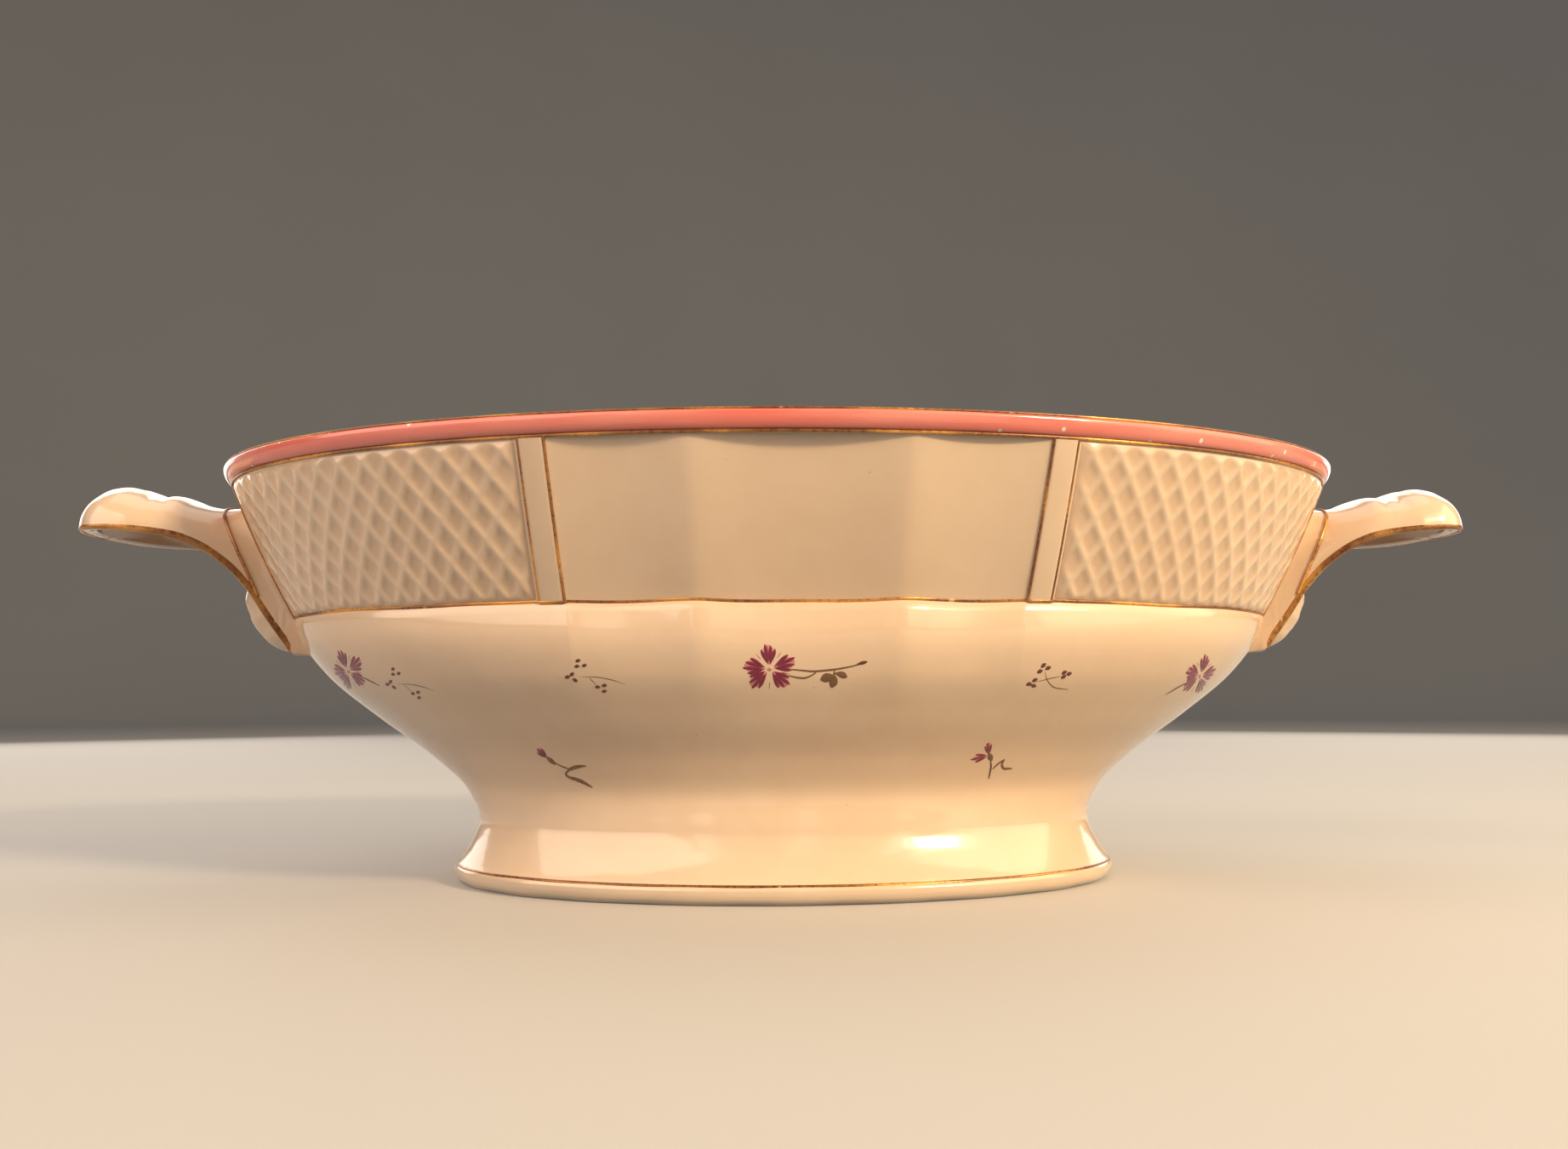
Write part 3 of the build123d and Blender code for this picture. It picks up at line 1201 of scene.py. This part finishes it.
    def stations(self) -> np.ndarray:
        """Places along the handle, evenly spread over its profiles' length.

        Returns:
            Rising places from the root to the tip.
        """
        fine = np.linspace(self.root, self.tip, 4000)
        ways = [np.diff(c(fine)) for c in (self.lip, self.crest, self.half)]
        pace = np.sqrt(np.diff(fine) ** 2 + sum(w**2 for w in ways))
        length = np.concatenate([[0.0], np.cumsum(pace)])
        return np.interp(np.linspace(0.0, length[-1], self.rows), length, fine)

    def build_shell(self) -> bpy.types.Object:
        """Makes the arched shell with its hollow underside.

        Returns:
            The finished piece.
        """
        x = self.stations()[:, None]
        arc = np.linspace(0.0, math.pi, self.cols)[None]
        outer = self.flare(self.section(x, arc))
        inner = self.keep_out(self.section(x, arc[:, ::-1], self.wall))
        strips = [outer]
        for start, end in ((outer[:, -1:], inner[:, :1]), (None, None)):
            if start is None:
                strips.append(inner)
                start, end = inner[:, -1:], outer[:, :1]
            for t in (0.2, 0.4, 0.6, 0.8):
                lip = mix(start, end, t)
                lip[..., 2] -= 0.55 * math.sin(t * math.pi)
                strips.append(lip)
        grid = np.concatenate(strips, axis=1)
        shell = Shell()
        shell.add(self.place(close_ends(grid)), wrap_cols=True)
        node = "handle_" + self.name
        return shell.piece("shell_" + node, self.finish, "glaze", (node,), SHARP_ANGLE)

    def lip_line(self) -> np.ndarray:
        """A band of points round the whole lip, five across.

        The band starts a little way up the outside and wraps under the edge.

        Returns:
            Points, along the lip by across.
        """
        x = self.stations()
        x = x[x > 120.9][:, None]
        rise = np.maximum(self.crest(x) - self.lip(x), 0.5)
        steep = (self.lip(x + 0.2) - self.lip(x - 0.2)) / 0.4
        height = mix(1.35, 0.6, smooth(138.0, 166.0, x))
        tall = np.array([[1.0, 0.5, 0.0]]) * np.sqrt(1.0 + steep**2) * height
        arc = np.arcsin(np.clip(tall / rise, 0.0, 0.5) ** (1.0 / 0.86))
        up = self.flare(self.section(x, arc))
        under = up[:, 2:] + np.array([0.0, 0.55, -0.45])
        near = np.concatenate([up, under, under + np.array([0.0, 0.55, -0.05])], axis=1)
        far = near * np.array([1.0, -1.0, 1.0])
        return np.concatenate([near, far[::-1]])

    def build_gold(self) -> bpy.types.Object:
        """Makes the gilt lines: round the lip and round the collar.

        Returns:
            The finished piece.
        """
        shell = Shell()
        band = self.lip_line()
        out = band - np.array([[[140.0, 0.0, 92.0]]])
        normal = unit(out * np.array([0.25, 1.0, 0.6]) + np.array([0.0, 0.0, -2.0]))
        front = band + normal * 0.10
        back = band - normal * 0.35
        grid = np.concatenate([front, back[:, ::-1]], axis=1)
        shell.add(self.place(close_ends(grid)), wrap_cols=True)
        arc = np.linspace(0.05, math.pi - 0.05, 72)
        x = np.full(72, 139.0)
        for _ in range(10):
            p = self.section(x[:, None], arc[:, None])[:, 0]
            a, b = self.form.upper.axes(np.clip(p[:, 2], 64.0, 101.0))
            outside = a * np.sqrt(1.0 - (p[:, 1] / b) ** 2)
            x = 0.5 * x + 0.5 * (outside + 4.2 + 1.8 * np.abs(np.cos(arc)))
        path = self.flare(self.section(x[:, None], arc[:, None])[:, 0])
        normal = np.stack([0.8 + 0 * arc, -1.0 * np.cos(arc), 1.2 * np.sin(arc) ** 2], axis=-1)
        shell.add(self.place(ribbon(path, normal, 1.25, 0.18)), wrap_cols=True)
        return shell.piece("handle_gilding_" + self.name, self.gold, "gilding", (), SHARP_ANGLE)

    def build_leaf(self) -> bpy.types.Object:
        """Makes the scroll leaf: a veined pad that curls out of the root.

        Returns:
            The finished piece.
        """
        t = np.linspace(0.0, 1.0, 72)[:, None]
        v = np.linspace(0.0, 2.0 * math.pi, 65)[None, :-1]
        along = [0.0, 0.12, 0.3, 0.5, 0.7, 0.88, 1.0]
        front = Curve(along, [124.0, 134.6, 136.4, 135.2, 132.1, 128.2, 124.0])
        high = Curve(along, [75.8, 74.6, 70.2, 65.4, 60.4, 57.3, 56.1])
        wide = Curve(along, [1.2, 5.6, 7.4, 7.0, 5.6, 3.8, 1.2])
        deep = 11.5
        c, s = np.cos(v), np.sin(v)
        seen = np.clip(s, 0.0, 1.0)
        vein = 0.30 * np.cos(9.0 * c) * seen + 0.6 * hump(c, 0.14) * seen
        lobes = 0.5 * (1.0 - np.cos(t * 30.0 + 5.0 * np.abs(c))) * seen * np.abs(c)
        y = wide(t) * np.sign(c) * np.abs(c) ** 0.9 * (1.0 - 0.07 * lobes)
        x = front(t) - deep + deep * np.sign(s) * np.abs(s) ** 0.8 * np.where(s > 0.0, 1.0, 0.5)
        x = x - (vein + 0.55 * lobes) * np.sin(t * math.pi)
        z = high(t) + 0 * x
        grid = self.keep_out(np.stack([x, y, z], axis=-1))
        shell = Shell()
        shell.add(self.place(close_ends(grid)), wrap_cols=True)
        node = "handle_leaf_" + self.name
        return shell.piece("scroll_leaf_" + self.name, self.finish, "glaze", (node,), SHARP_ANGLE)

    def build(self) -> None:
        """Makes the handle's pieces."""
        self.build_shell()
        self.build_gold()
        self.build_leaf()


# ---------------------------------------------------------------- gold lines


@dataclass
class GoldLines:
    """Fired gold lines round the rim, waist and foot and beside the panels."""

    form: BowlForm
    gold: Finish
    width: float = 0.62
    rise: float = 0.10
    points: int = 720

    def ring(
        self, name: str, wall: Wall, z: float, width: float, proud: float, node: str
    ) -> None:
        """Makes one closed line round the bowl.

        Args:
            name: the piece's name.
            wall: the wall it lies on.
            z: its height.
            width: its width.
            proud: distance of its path above the wall.
            node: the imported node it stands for.
        """
        turn = np.arange(self.points) / self.points * 2.0 * math.pi
        high = np.full(self.points, z)
        path = wall.point(turn, high, proud)
        shell = Shell()
        shell.add(ribbon(path, wall.normal(turn, high), width, self.rise, True), True, True)
        shell.piece(name, self.gold, "gilding", (node,), SHARP_ANGLE)

    def waist(self) -> None:
        """Makes the waist line along the front and the back."""
        form = self.form
        marks = form.marks(form.upper, np.array([form.waist_height + 0.3]))[0]
        shell = Shell()
        for spin in (0.0, math.pi):
            turn = np.linspace(-marks[4] - 0.01, marks[4] + 0.01, 420)
            high = np.full(420, form.waist_height + 0.30)
            a, _ = form.upper.axes(high)
            x = np.abs(a * np.sin(turn))
            inner = x - form.lean(high, form.rib)
            on_rib = smooth(-0.3, 0.4, inner) * smooth(-0.3, 0.4, form.rib_width - inner)
            path = form.outside(form.upper, turn + spin, high, 0.12 + on_rib * form.rib_proud)
            normal = form.upper.normal(turn + spin, high)
            shell.add(ribbon(path, normal, 0.72, self.rise), wrap_cols=True)
        shell.piece("gold_line_waist", self.gold, "gilding", ("gold_waist_line",), SHARP_ANGLE)

    def panels(self) -> None:
        """Makes the lines beside every rib and at the end of every panel."""
        form = self.form
        z = np.linspace(form.waist_height + 0.25, form.frieze_top + 0.2, 60)
        a, b = form.upper.axes(z)
        shell = Shell()
        edge = 0.25
        inner = (form.rib[0] + edge, form.rib[1] + edge)
        far = form.rib_width - edge
        outer = (form.rib[0] + far, form.rib[1] + far)
        for spin in (0.0, math.pi):
            for mirror in (-1.0, 1.0):
                for pair in (inner, outer):
                    turn = mirror * np.arcsin(form.lean(z, pair) / a) + spin
                    path = form.outside(form.upper, turn, z, 0.28)
                    normal = form.upper.normal(turn, z)
                    shell.add(ribbon(path, normal, self.width, 0.22), wrap_cols=True)
                turn = mirror * np.arccos(form.lean(z, form.end_line) / b) + spin
                path = form.upper.point(turn + mirror * 0.004, z, 0.16)
                shell.add(ribbon(path, form.upper.normal(turn, z), 1.25, 0.34), wrap_cols=True)
        shell.piece("gold_lines_panels", self.gold, "gilding", (), SHARP_ANGLE)

    def build(self) -> None:
        """Makes every gold line of the body."""
        form = self.form
        self.ring("gold_line_lip", form.upper, 100.68, 0.45, 0.02, "gold_rim_upper")
        self.ring("gold_line_under_band", form.upper, 96.52, 0.66, 0.32, "gold_rim_lower")
        self.ring("gold_line_foot", form.foot, 4.3, 0.62, 0.03, "gold_foot_line")
        self.waist()
        self.panels()


# ---------------------------------------------------------------- painted sprigs


Spots = tuple[tuple[float, float, float], ...]


class Brush:
    """Paints closed strokes on the lower body, gathered by colour."""

    def __init__(self, form: BowlForm, spin: float) -> None:
        """Starts with no strokes.

        Args:
            form: the bowl's form.
            spin: turn about Z, zero for the front and pi for the back.
        """
        self.form = form
        self.spin = spin
        self.shells = {hue: Shell() for hue in Hue}

    def on_body(self, x: np.ndarray, z: np.ndarray, lift: np.ndarray) -> np.ndarray:
        """Points on the lower body above places (x, z), raised by lift.

        Args:
            x: place along the bowl.
            z: height.
            lift: distance above the surface.

        Returns:
            Points turned to this brush's side of the bowl.
        """
        a, _ = self.form.lower.axes(z)
        turn = np.arcsin(np.clip(x / a, -1.0, 1.0))
        fade = self.form.flute_fade(z)
        p = self.form.outside(self.form.lower, turn, z, lift, fade)
        c, s = math.cos(self.spin), math.sin(self.spin)
        x, y = p[..., 0], p[..., 1]
        return np.stack([x * c - y * s, x * s + y * c, p[..., 2]], axis=-1)

    def stroke(self, hue: Hue, way: np.ndarray, wide: np.ndarray, rise: float = 0.10) -> None:
        """Lays one stroke: a lens that follows a way and narrows as told.

        Args:
            hue: its colour.
            way: points (x, z) along the stroke.
            wide: half width at each point.
            rise: thickness of the paint in the middle.
        """
        along = unit(np.gradient(way, axis=0))
        side = np.stack([-along[:, 1], along[:, 0]], axis=-1)
        across = np.linspace(-1.0, 1.0, 9)[None]
        flat = way[:, None] + side[:, None] * (across * wide[:, None])[..., None]
        body = np.sqrt(np.clip(1.0 - across**2, 0.0, 1.0)) * np.clip(wide[:, None] / 0.25, 0.0, 1.0)
        front = self.on_body(flat[..., 0], flat[..., 1], -0.04 + (rise + 0.04) * body)
        back = self.on_body(flat[..., 0], flat[..., 1], -0.04 - 0.06 * body)
        t = np.linspace(0.0, 1.0, len(way))[:, None]
        edge = np.abs(across) ** 1.6 * 0.75 + 0.20 * smooth(0.6, 1.0, t)
        self.shells[hue].add_slab(front, back, edge=edge)

    def blade(
        self, hue: Hue, x: float, z: float, angle: float, length: float,
        wide: float, bend: float = 0.0, full: float = 0.5, rise: float = 0.10,
    ) -> None:
        """A petal or leaf: fullest part of the way along, pointed at both ends.

        Args:
            hue: its colour.
            x: where it starts along the bowl.
            z: height where it starts.
            angle: its direction in degrees, 0 to the right and 90 up.
            length: its length.
            wide: its greatest half width.
            bend: sideways bow in its middle.
            full: where along it is widest, 0 to 1.
            rise: thickness of the paint.
        """
        t = np.linspace(0.0, 1.0, 15)
        turn = math.radians(angle)
        go = np.array([math.cos(turn), math.sin(turn)])
        off = np.array([-go[1], go[0]])
        bow = (bend * np.sin(t * math.pi))[:, None] * off
        way = np.array([x, z]) + t[:, None] * length * go + bow
        p = math.log(0.5) / math.log(full)
        half = wide * np.sin(math.pi * t**p) ** 0.8
        self.stroke(hue, way, half + 1e-4, rise)

    def stem(
        self, points: list[tuple[float, float]], wide: float, hue: Hue = Hue.LEAF
    ) -> None:
        """A thin line through a few places, smoothed between them.

        Args:
            points: places (x, z) that the line passes.
            wide: its greatest half width.
            hue: its colour.
        """
        knots = np.asarray(points, float)
        pace = np.concatenate([[0.0], np.cumsum(np.hypot(*np.diff(knots, axis=0).T))])
        t = np.linspace(0.0, pace[-1], 26)
        way = np.stack([Curve(pace, knots[:, 0])(t), Curve(pace, knots[:, 1])(t)], axis=-1)
        taper = 0.55 + 0.45 * np.sin(np.linspace(0.0, math.pi, 26))
        half = wide * taper
        half[[0, -1]] = 1e-4
        self.stroke(hue, way, half, 0.07)

    def berries(self, x: float, z: float, size: float, spots: Spots) -> None:
        """One cluster of oval berries.

        Args:
            x: the cluster's place.
            z: its height.
            size: half length of a berry.
            spots: each berry's offset along, offset up and angle in degrees.
        """
        for dx, dz, angle in spots:
            go = math.radians(angle)
            start = (x + dx - size * math.cos(go), z + dz - size * math.sin(go))
            self.blade(Hue.BERRY, *start, angle, 2.0 * size, 0.66 * size)

    def cornflower(self, x: float, z: float, size: float, lean: float = 0.0) -> None:
        """Five toothed fan petals round a pale eye, with pale rays between.

        Args:
            x: the eye's place.
            z: its height.
            size: length of a petal.
            lean: turn of the whole flower in degrees.
        """
        petals = ((95.0, 0.98), (18.0, 1.08), (317.0, 1.0), (221.0, 1.02), (171.0, 1.06))
        for angle, reach in petals:
            turn = math.radians(angle + lean)
            start = (x + 0.10 * size * math.cos(turn), z + 0.10 * size * math.sin(turn))
            aim, long = angle + lean, size * reach
            self.blade(Hue.WASH, *start, aim, long * 0.92, size * 0.30, 0.0, 0.68, 0.045)
            for split, part in ((-23.0, 0.84), (-8.0, 0.96), (7.0, 1.04), (22.0, 0.86)):
                tooth = long * part * 0.93
                self.blade(Hue.PETAL, *start, aim + split, tooth, size * 0.095, 0.0, 0.66)
        for angle in (56.0, 345.0, 270.0, 196.0, 133.0):
            self.blade(Hue.PETAL, x, z, angle + lean, size * 0.92, 0.11, 0.0, 0.75, 0.07)
        self.blade(Hue.WASH, x - 0.5, z - 0.1, 10.0, 1.0, 0.5, 0.0, 0.5, 0.12)

    def big_sprig(self) -> None:
        """The cornflower with its bud and three-lobed leaf."""
        near_end = [(-3.4, 50.3), (0.4, 49.9), (2.9, 49.7)]
        far_end = [(6.9, 50.0), (10.6, 50.6), (13.6, 51.4)]
        self.stem(near_end + far_end, 0.26)
        self.stem([(-2.6, 48.9), (0.9, 48.3), (2.5, 48.8), (3.7, 49.6)], 0.24)
        self.cornflower(-6.1, 50.2, 5.1, 0.0)
        self.blade(Hue.BERRY, 11.6, 51.0, 14.0, 2.7, 0.42, 0.0, 0.6)
        self.stem([(7.3, 49.9), (7.3, 49.2), (7.1, 48.6)], 0.24)
        self.blade(Hue.LEAF, 7.2, 49.0, 200.0, 3.0, 1.05, 0.1, 0.55)
        self.blade(Hue.LEAF, 7.2, 49.2, 262.0, 3.0, 1.0, 0.2, 0.55)
        self.blade(Hue.LEAF, 7.2, 49.3, -18.0, 3.0, 0.75, 0.2, 0.6)

    def berry_sprig(self, x: float, z: float) -> None:
        """Three berry clusters, two of them on a thin stem to the right.

        Args:
            x: the top cluster's place.
            z: its height.
        """
        trio = ((-0.35, 0.70, 20.0), (-0.60, -0.45, 10.0), (0.95, -0.30, 15.0))
        self.berries(x, z, 0.62, trio)
        self.berries(
            x - 2.0, z - 2.7, 0.66,
            ((-0.75, 0.05, 10.0), (0.25, 0.62, 35.0), (0.85, -0.60, -30.0)),
        )
        self.berries(
            x + 4.4, z - 4.9, 0.62,
            ((-0.85, 0.15, 0.0), (0.60, 0.45, 10.0), (0.50, -0.75, 10.0)),
        )
        self.stem(
            [(x - 0.6, z - 2.6), (x + 3.0, z - 2.7), (x + 6.5, z - 3.3), (x + 9.9, z - 4.4)],
            0.13,
        )
        self.stem([(x + 1.6, z - 2.7), (x + 2.4, z - 3.4), (x + 3.5, z - 4.6)], 0.12)

    def crossed_berries(self, x: float, z: float) -> None:
        """Three berry clusters on two crossing stems.

        Args:
            x: the top cluster's place.
            z: its height.
        """
        self.berries(x, z, 0.78, ((-0.15, 0.65, 40.0), (1.0, 0.1, 25.0), (-0.85, -0.6, 25.0)))
        self.berries(
            x + 5.2, z - 1.4, 0.74,
            ((-0.25, 0.55, 30.0), (0.95, 0.3, 20.0), (-0.3, -0.35, 30.0)),
        )
        self.berries(
            x - 2.3, z - 3.2, 0.74,
            ((0.55, 0.75, 25.0), (-0.7, -0.1, 15.0), (0.45, -0.45, -10.0)),
        )
        self.stem(
            [(x + 0.3, z - 0.4), (x + 0.9, z - 2.1), (x + 3.4, z - 4.1), (x + 6.9, z - 4.5)],
            0.17,
        )
        self.stem([(x + 4.4, z - 1.6), (x + 1.0, z - 2.3), (x - 1.5, z - 2.9)], 0.14)

    def low_left_bud(self, x: float, z: float) -> None:
        """A bud on a zigzag stem with two leaves.

        Args:
            x: the bud's place.
            z: its height.
        """
        for angle, reach in ((118.0, 2.6), (135.0, 3.2), (152.0, 2.7)):
            self.blade(Hue.PETAL, x + 1.3, z - 1.4, angle, reach, 0.36, 0.0, 0.6)
        self.blade(Hue.WASH, x + 1.6, z - 1.6, 136.0, 3.6, 1.0, 0.0, 0.7, 0.045)
        self.blade(Hue.LEAF, x + 0.9, z - 1.0, -40.0, 3.0, 0.62)
        self.stem([(x + 2.6, z - 2.2), (x + 4.6, z - 3.3), (x + 6.6, z - 3.9)], 0.22)
        self.blade(Hue.LEAF, x + 5.4, z - 4.3, 14.0, 5.2, 0.50, 0.35, 0.4)
        self.stem(
            [(x + 6.6, z - 3.8), (x + 5.2, z - 5.0), (x + 6.2, z - 5.9), (x + 8.8, z - 6.6)],
            0.34,
        )
        self.blade(Hue.LEAF, x + 5.6, z - 5.6, -24.0, 6.6, 0.52, 0.3, 0.4)

    def low_right_bud(self, x: float, z: float) -> None:
        """A double bud on a straight stem with an S-curved leaf.

        Args:
            x: the calyx's place.
            z: its height.
        """
        upper_bud = ((88.0, 2.7), (106.0, 3.2), (122.0, 2.6))
        left_bud = ((176.0, 3.4), (192.0, 4.6), (206.0, 3.6))
        for angle, reach in upper_bud + left_bud:
            self.blade(Hue.PETAL, x - 0.4, z + 0.3, angle, reach, 0.34, 0.0, 0.62)
        self.blade(Hue.WASH, x - 0.2, z + 0.2, 105.0, 3.3, 1.0, 0.0, 0.7, 0.045)
        self.blade(Hue.WASH, x - 0.2, z + 0.2, 190.0, 4.2, 0.9, 0.0, 0.7, 0.045)
        self.blade(Hue.LEAF, x - 0.6, z + 0.9, -60.0, 2.3, 0.75)
        self.stem([(x + 0.1, z - 0.6), (x + 0.5, z - 2.6), (x + 0.3, z - 5.3)], 0.28, Hue.BERRY)
        self.stem([(x + 0.9, z - 3.0), (x + 1.8, z - 2.0), (x + 3.6, z - 0.6)], 0.26)
        self.stem(
            [(x + 3.6, z - 0.6), (x + 3.1, z - 1.8), (x + 3.9, z - 2.9), (x + 5.9, z - 2.9)],
            0.36,
        )

    def all_sprigs(self) -> None:
        """Paints one long side of the bowl."""
        self.big_sprig()
        self.berry_sprig(-45.5, 51.5)
        self.crossed_berries(52.6, 50.2)
        self.low_left_bud(-56.0, 32.6)
        self.low_right_bud(43.6, 31.0)
        self.stem([(-99.0, 49.9), (-96.0, 48.6), (-93.4, 47.4)], 0.24)
        self.cornflower(-102.0, 50.9, 4.9, 8.0)
        self.berry_sprig(-88.4, 50.4)
        self.stem([(92.4, 47.6), (89.4, 46.2), (86.0, 44.4)], 0.26)
        self.cornflower(95.4, 48.8, 4.9, -6.0)


@dataclass
class PaintedSprigs:
    """The flower painting on both long sides of the lower body."""

    form: BowlForm

    def build(self) -> None:
        """Makes one piece for each colour on each side."""
        for name, spin in (("front", 0.0), ("back", math.pi)):
            brush = Brush(self.form, spin)
            brush.all_sprigs()
            for hue, shell in brush.shells.items():
                shell.piece(hue.value[0] + "_" + name, SprigEnamel(hue=hue), "glaze", (), 70.0)


# ---------------------------------------------------------------- studio


@dataclass
class Studio:
    """Pale sweep, soft lamps and the camera."""

    lens: float = 30.80
    place: Place = (-15.42, -346.0, 44.29)
    swing: float = 0.0447
    tilt: float = 0.0916
    roll: float = 0.0054

    def sweep(self) -> None:
        """Makes a pale round floor whose far edge curves up into a wall.

        The profile is flat, then a quarter circle, then upright, turned about Z.
        """
        reach, bend, tall = 2400.0, 1300.0, 2600.0
        arc = np.linspace(0.0, math.pi / 2, 22)
        flat = [0.0, 300.0, 900.0, 1600.0]
        out = np.concatenate([flat, reach + bend * np.sin(arc), [reach + bend]])
        high = np.concatenate([[0.0] * 4, bend * (1.0 - np.cos(arc)), [tall]]) - 0.02
        count = 128
        turn = np.arange(count) / count * 2.0 * math.pi
        x, y = out[:, None] * np.cos(turn), out[:, None] * np.sin(turn)
        grid = np.stack([x, y, high[:, None] + 0 * turn], axis=-1)
        mesh = bpy.data.meshes.new("floor_sweep")
        faces = grid_faces(len(out), count, wrap_cols=True)
        mesh.from_pydata((grid.reshape(-1, 3) * MM).tolist(), [], faces.tolist())
        work = bmesh.new()
        work.from_mesh(mesh)
        bmesh.ops.remove_doubles(work, verts=work.verts, dist=1e-6)
        work.to_mesh(mesh)
        work.free()
        mesh.polygons.foreach_set("use_smooth", np.ones(len(mesh.polygons), bool))
        floor = bpy.data.objects.new("floor_sweep", mesh)
        bpy.context.scene.collection.objects.link(floor)
        paint = Paint("pale_floor")
        cloud = paint.noise(0.4, 2.0)
        colour = paint.blend(cloud, (0.60, 0.565, 0.53), (0.56, 0.525, 0.49))
        paint.set(Base_Color=colour, Roughness=0.8)
        mesh.materials.append(paint.made)
        floor.visible_diffuse = False

    def lamp(
        self, name: str, at: Place, size: tuple[float, float], power: float, colour: Colour
    ) -> None:
        """Adds one soft rectangular lamp that faces the bowl.

        Args:
            name: the lamp's name.
            at: its place in millimetres.
            size: its width and height in metres.
            power: watts.
            colour: its colour.
        """
        data = bpy.data.lights.new(name, "AREA")
        data.shape = "RECTANGLE"
        data.size, data.size_y = size
        data.energy = power
        data.color = colour
        lamp = bpy.data.objects.new(name, data)
        spot = np.array(at) * MM
        back = unit(spot - np.array([0.0, 0.0, 0.05]))
        right = unit(np.cross([0.0, 0.0, 1.0], back))
        up = np.cross(back, right)
        turn = np.eye(4)
        turn[:3, 0], turn[:3, 1], turn[:3, 2], turn[:3, 3] = right, up, back, spot
        lamp.matrix_world = Matrix(turn.tolist())
        lamp.visible_camera = False
        bpy.context.scene.collection.objects.link(lamp)

    def camera(self) -> None:
        """Sets the camera low in front, tilted up a little."""
        data = bpy.data.cameras.new("camera")
        data.sensor_fit = "HORIZONTAL"
        data.sensor_width = 36.0
        data.lens = self.lens
        data.clip_start = 0.01
        ahead = np.array([math.sin(self.swing), math.cos(self.swing), 0.0])
        right = np.array([math.cos(self.swing), -math.sin(self.swing), 0.0])
        up = np.array([0.0, 0.0, 1.0])
        look = math.cos(self.tilt) * ahead + math.sin(self.tilt) * up
        head = math.cos(self.tilt) * up - math.sin(self.tilt) * ahead
        c, s = math.cos(self.roll), math.sin(self.roll)
        turn = np.eye(4)
        turn[:3, 0] = c * right - s * head
        turn[:3, 1] = s * right + c * head
        turn[:3, 2] = -look
        turn[:3, 3] = np.array(self.place) * MM
        cam = bpy.data.objects.new("camera", data)
        cam.matrix_world = Matrix(turn.tolist())
        bpy.context.scene.collection.objects.link(cam)
        bpy.context.scene.camera = cam

    def build(self) -> None:
        """Sets the floor, lamps, sky and camera."""
        self.sweep()
        self.lamp("key_right", (800.0, -820.0, 560.0), (0.22, 0.12), 12.8, (1.0, 0.80, 0.53))
        self.lamp("side_right", (1050.0, -420.0, 480.0), (1.1, 1.0), 10.0, (1.0, 0.82, 0.54))
        self.lamp("fill_left", (-950.0, -640.0, 580.0), (1.25, 1.1), 12.0, (1.0, 0.84, 0.70))
        self.lamp("top_soft", (0.0, 350.0, 1100.0), (1.2, 0.9), 3.4, (1.0, 0.92, 0.82))
        self.lamp("strip_middle", (120.0, -1150.0, 470.0), (0.12, 0.80), 0.30, (1.0, 0.87, 0.72))
        self.lamp("strip_left", (-420.0, -1080.0, 470.0), (0.12, 0.80), 0.50, (1.0, 0.87, 0.76))
        self.lamp("strip_right", (640.0, -1000.0, 470.0), (0.12, 0.80), 0.60, (1.0, 0.84, 0.64))
        self.lamp("back_left", (-750.0, 1000.0, 520.0), (0.9, 0.8), 4.6, (1.0, 0.92, 0.84))
        self.lamp("back_right", (750.0, 1000.0, 520.0), (0.9, 0.8), 4.6, (1.0, 0.90, 0.80))
        world = bpy.data.worlds.new("studio")
        world.use_nodes = True
        sky = world.node_tree.nodes["Background"]
        sky.inputs[0].default_value = (0.86, 0.86, 0.86, 1.0)
        sky.inputs[1].default_value = 0.17
        bpy.context.scene.world = world
        bpy.context.scene.view_settings.view_transform = "Standard"
        self.camera()


def main() -> None:
    """Builds the bowl and its studio in order."""
    logging.basicConfig(level=logging.INFO, format="%(message)s")
    form = BowlForm()
    glaze = IvoryGlaze()
    gold = Gilding()
    CastBowl(form, glaze).build()
    LatticePanels(form, IvoryGlaze(name="ivory_glaze_lattice", relief=True)).build()
    CoralBand(form, CoralEnamel()).build()
    RolledFoot(form, IvoryGlaze(name="ivory_glaze_foot", bare_foot=True)).build()
    LugHandle(form, glaze, gold, 1, "right").build()
    LugHandle(form, glaze, gold, -1, "left").build()
    GoldLines(form, gold).build()
    PaintedSprigs(form).build()
    Studio().build()


if __name__ == "__main__":
    main()
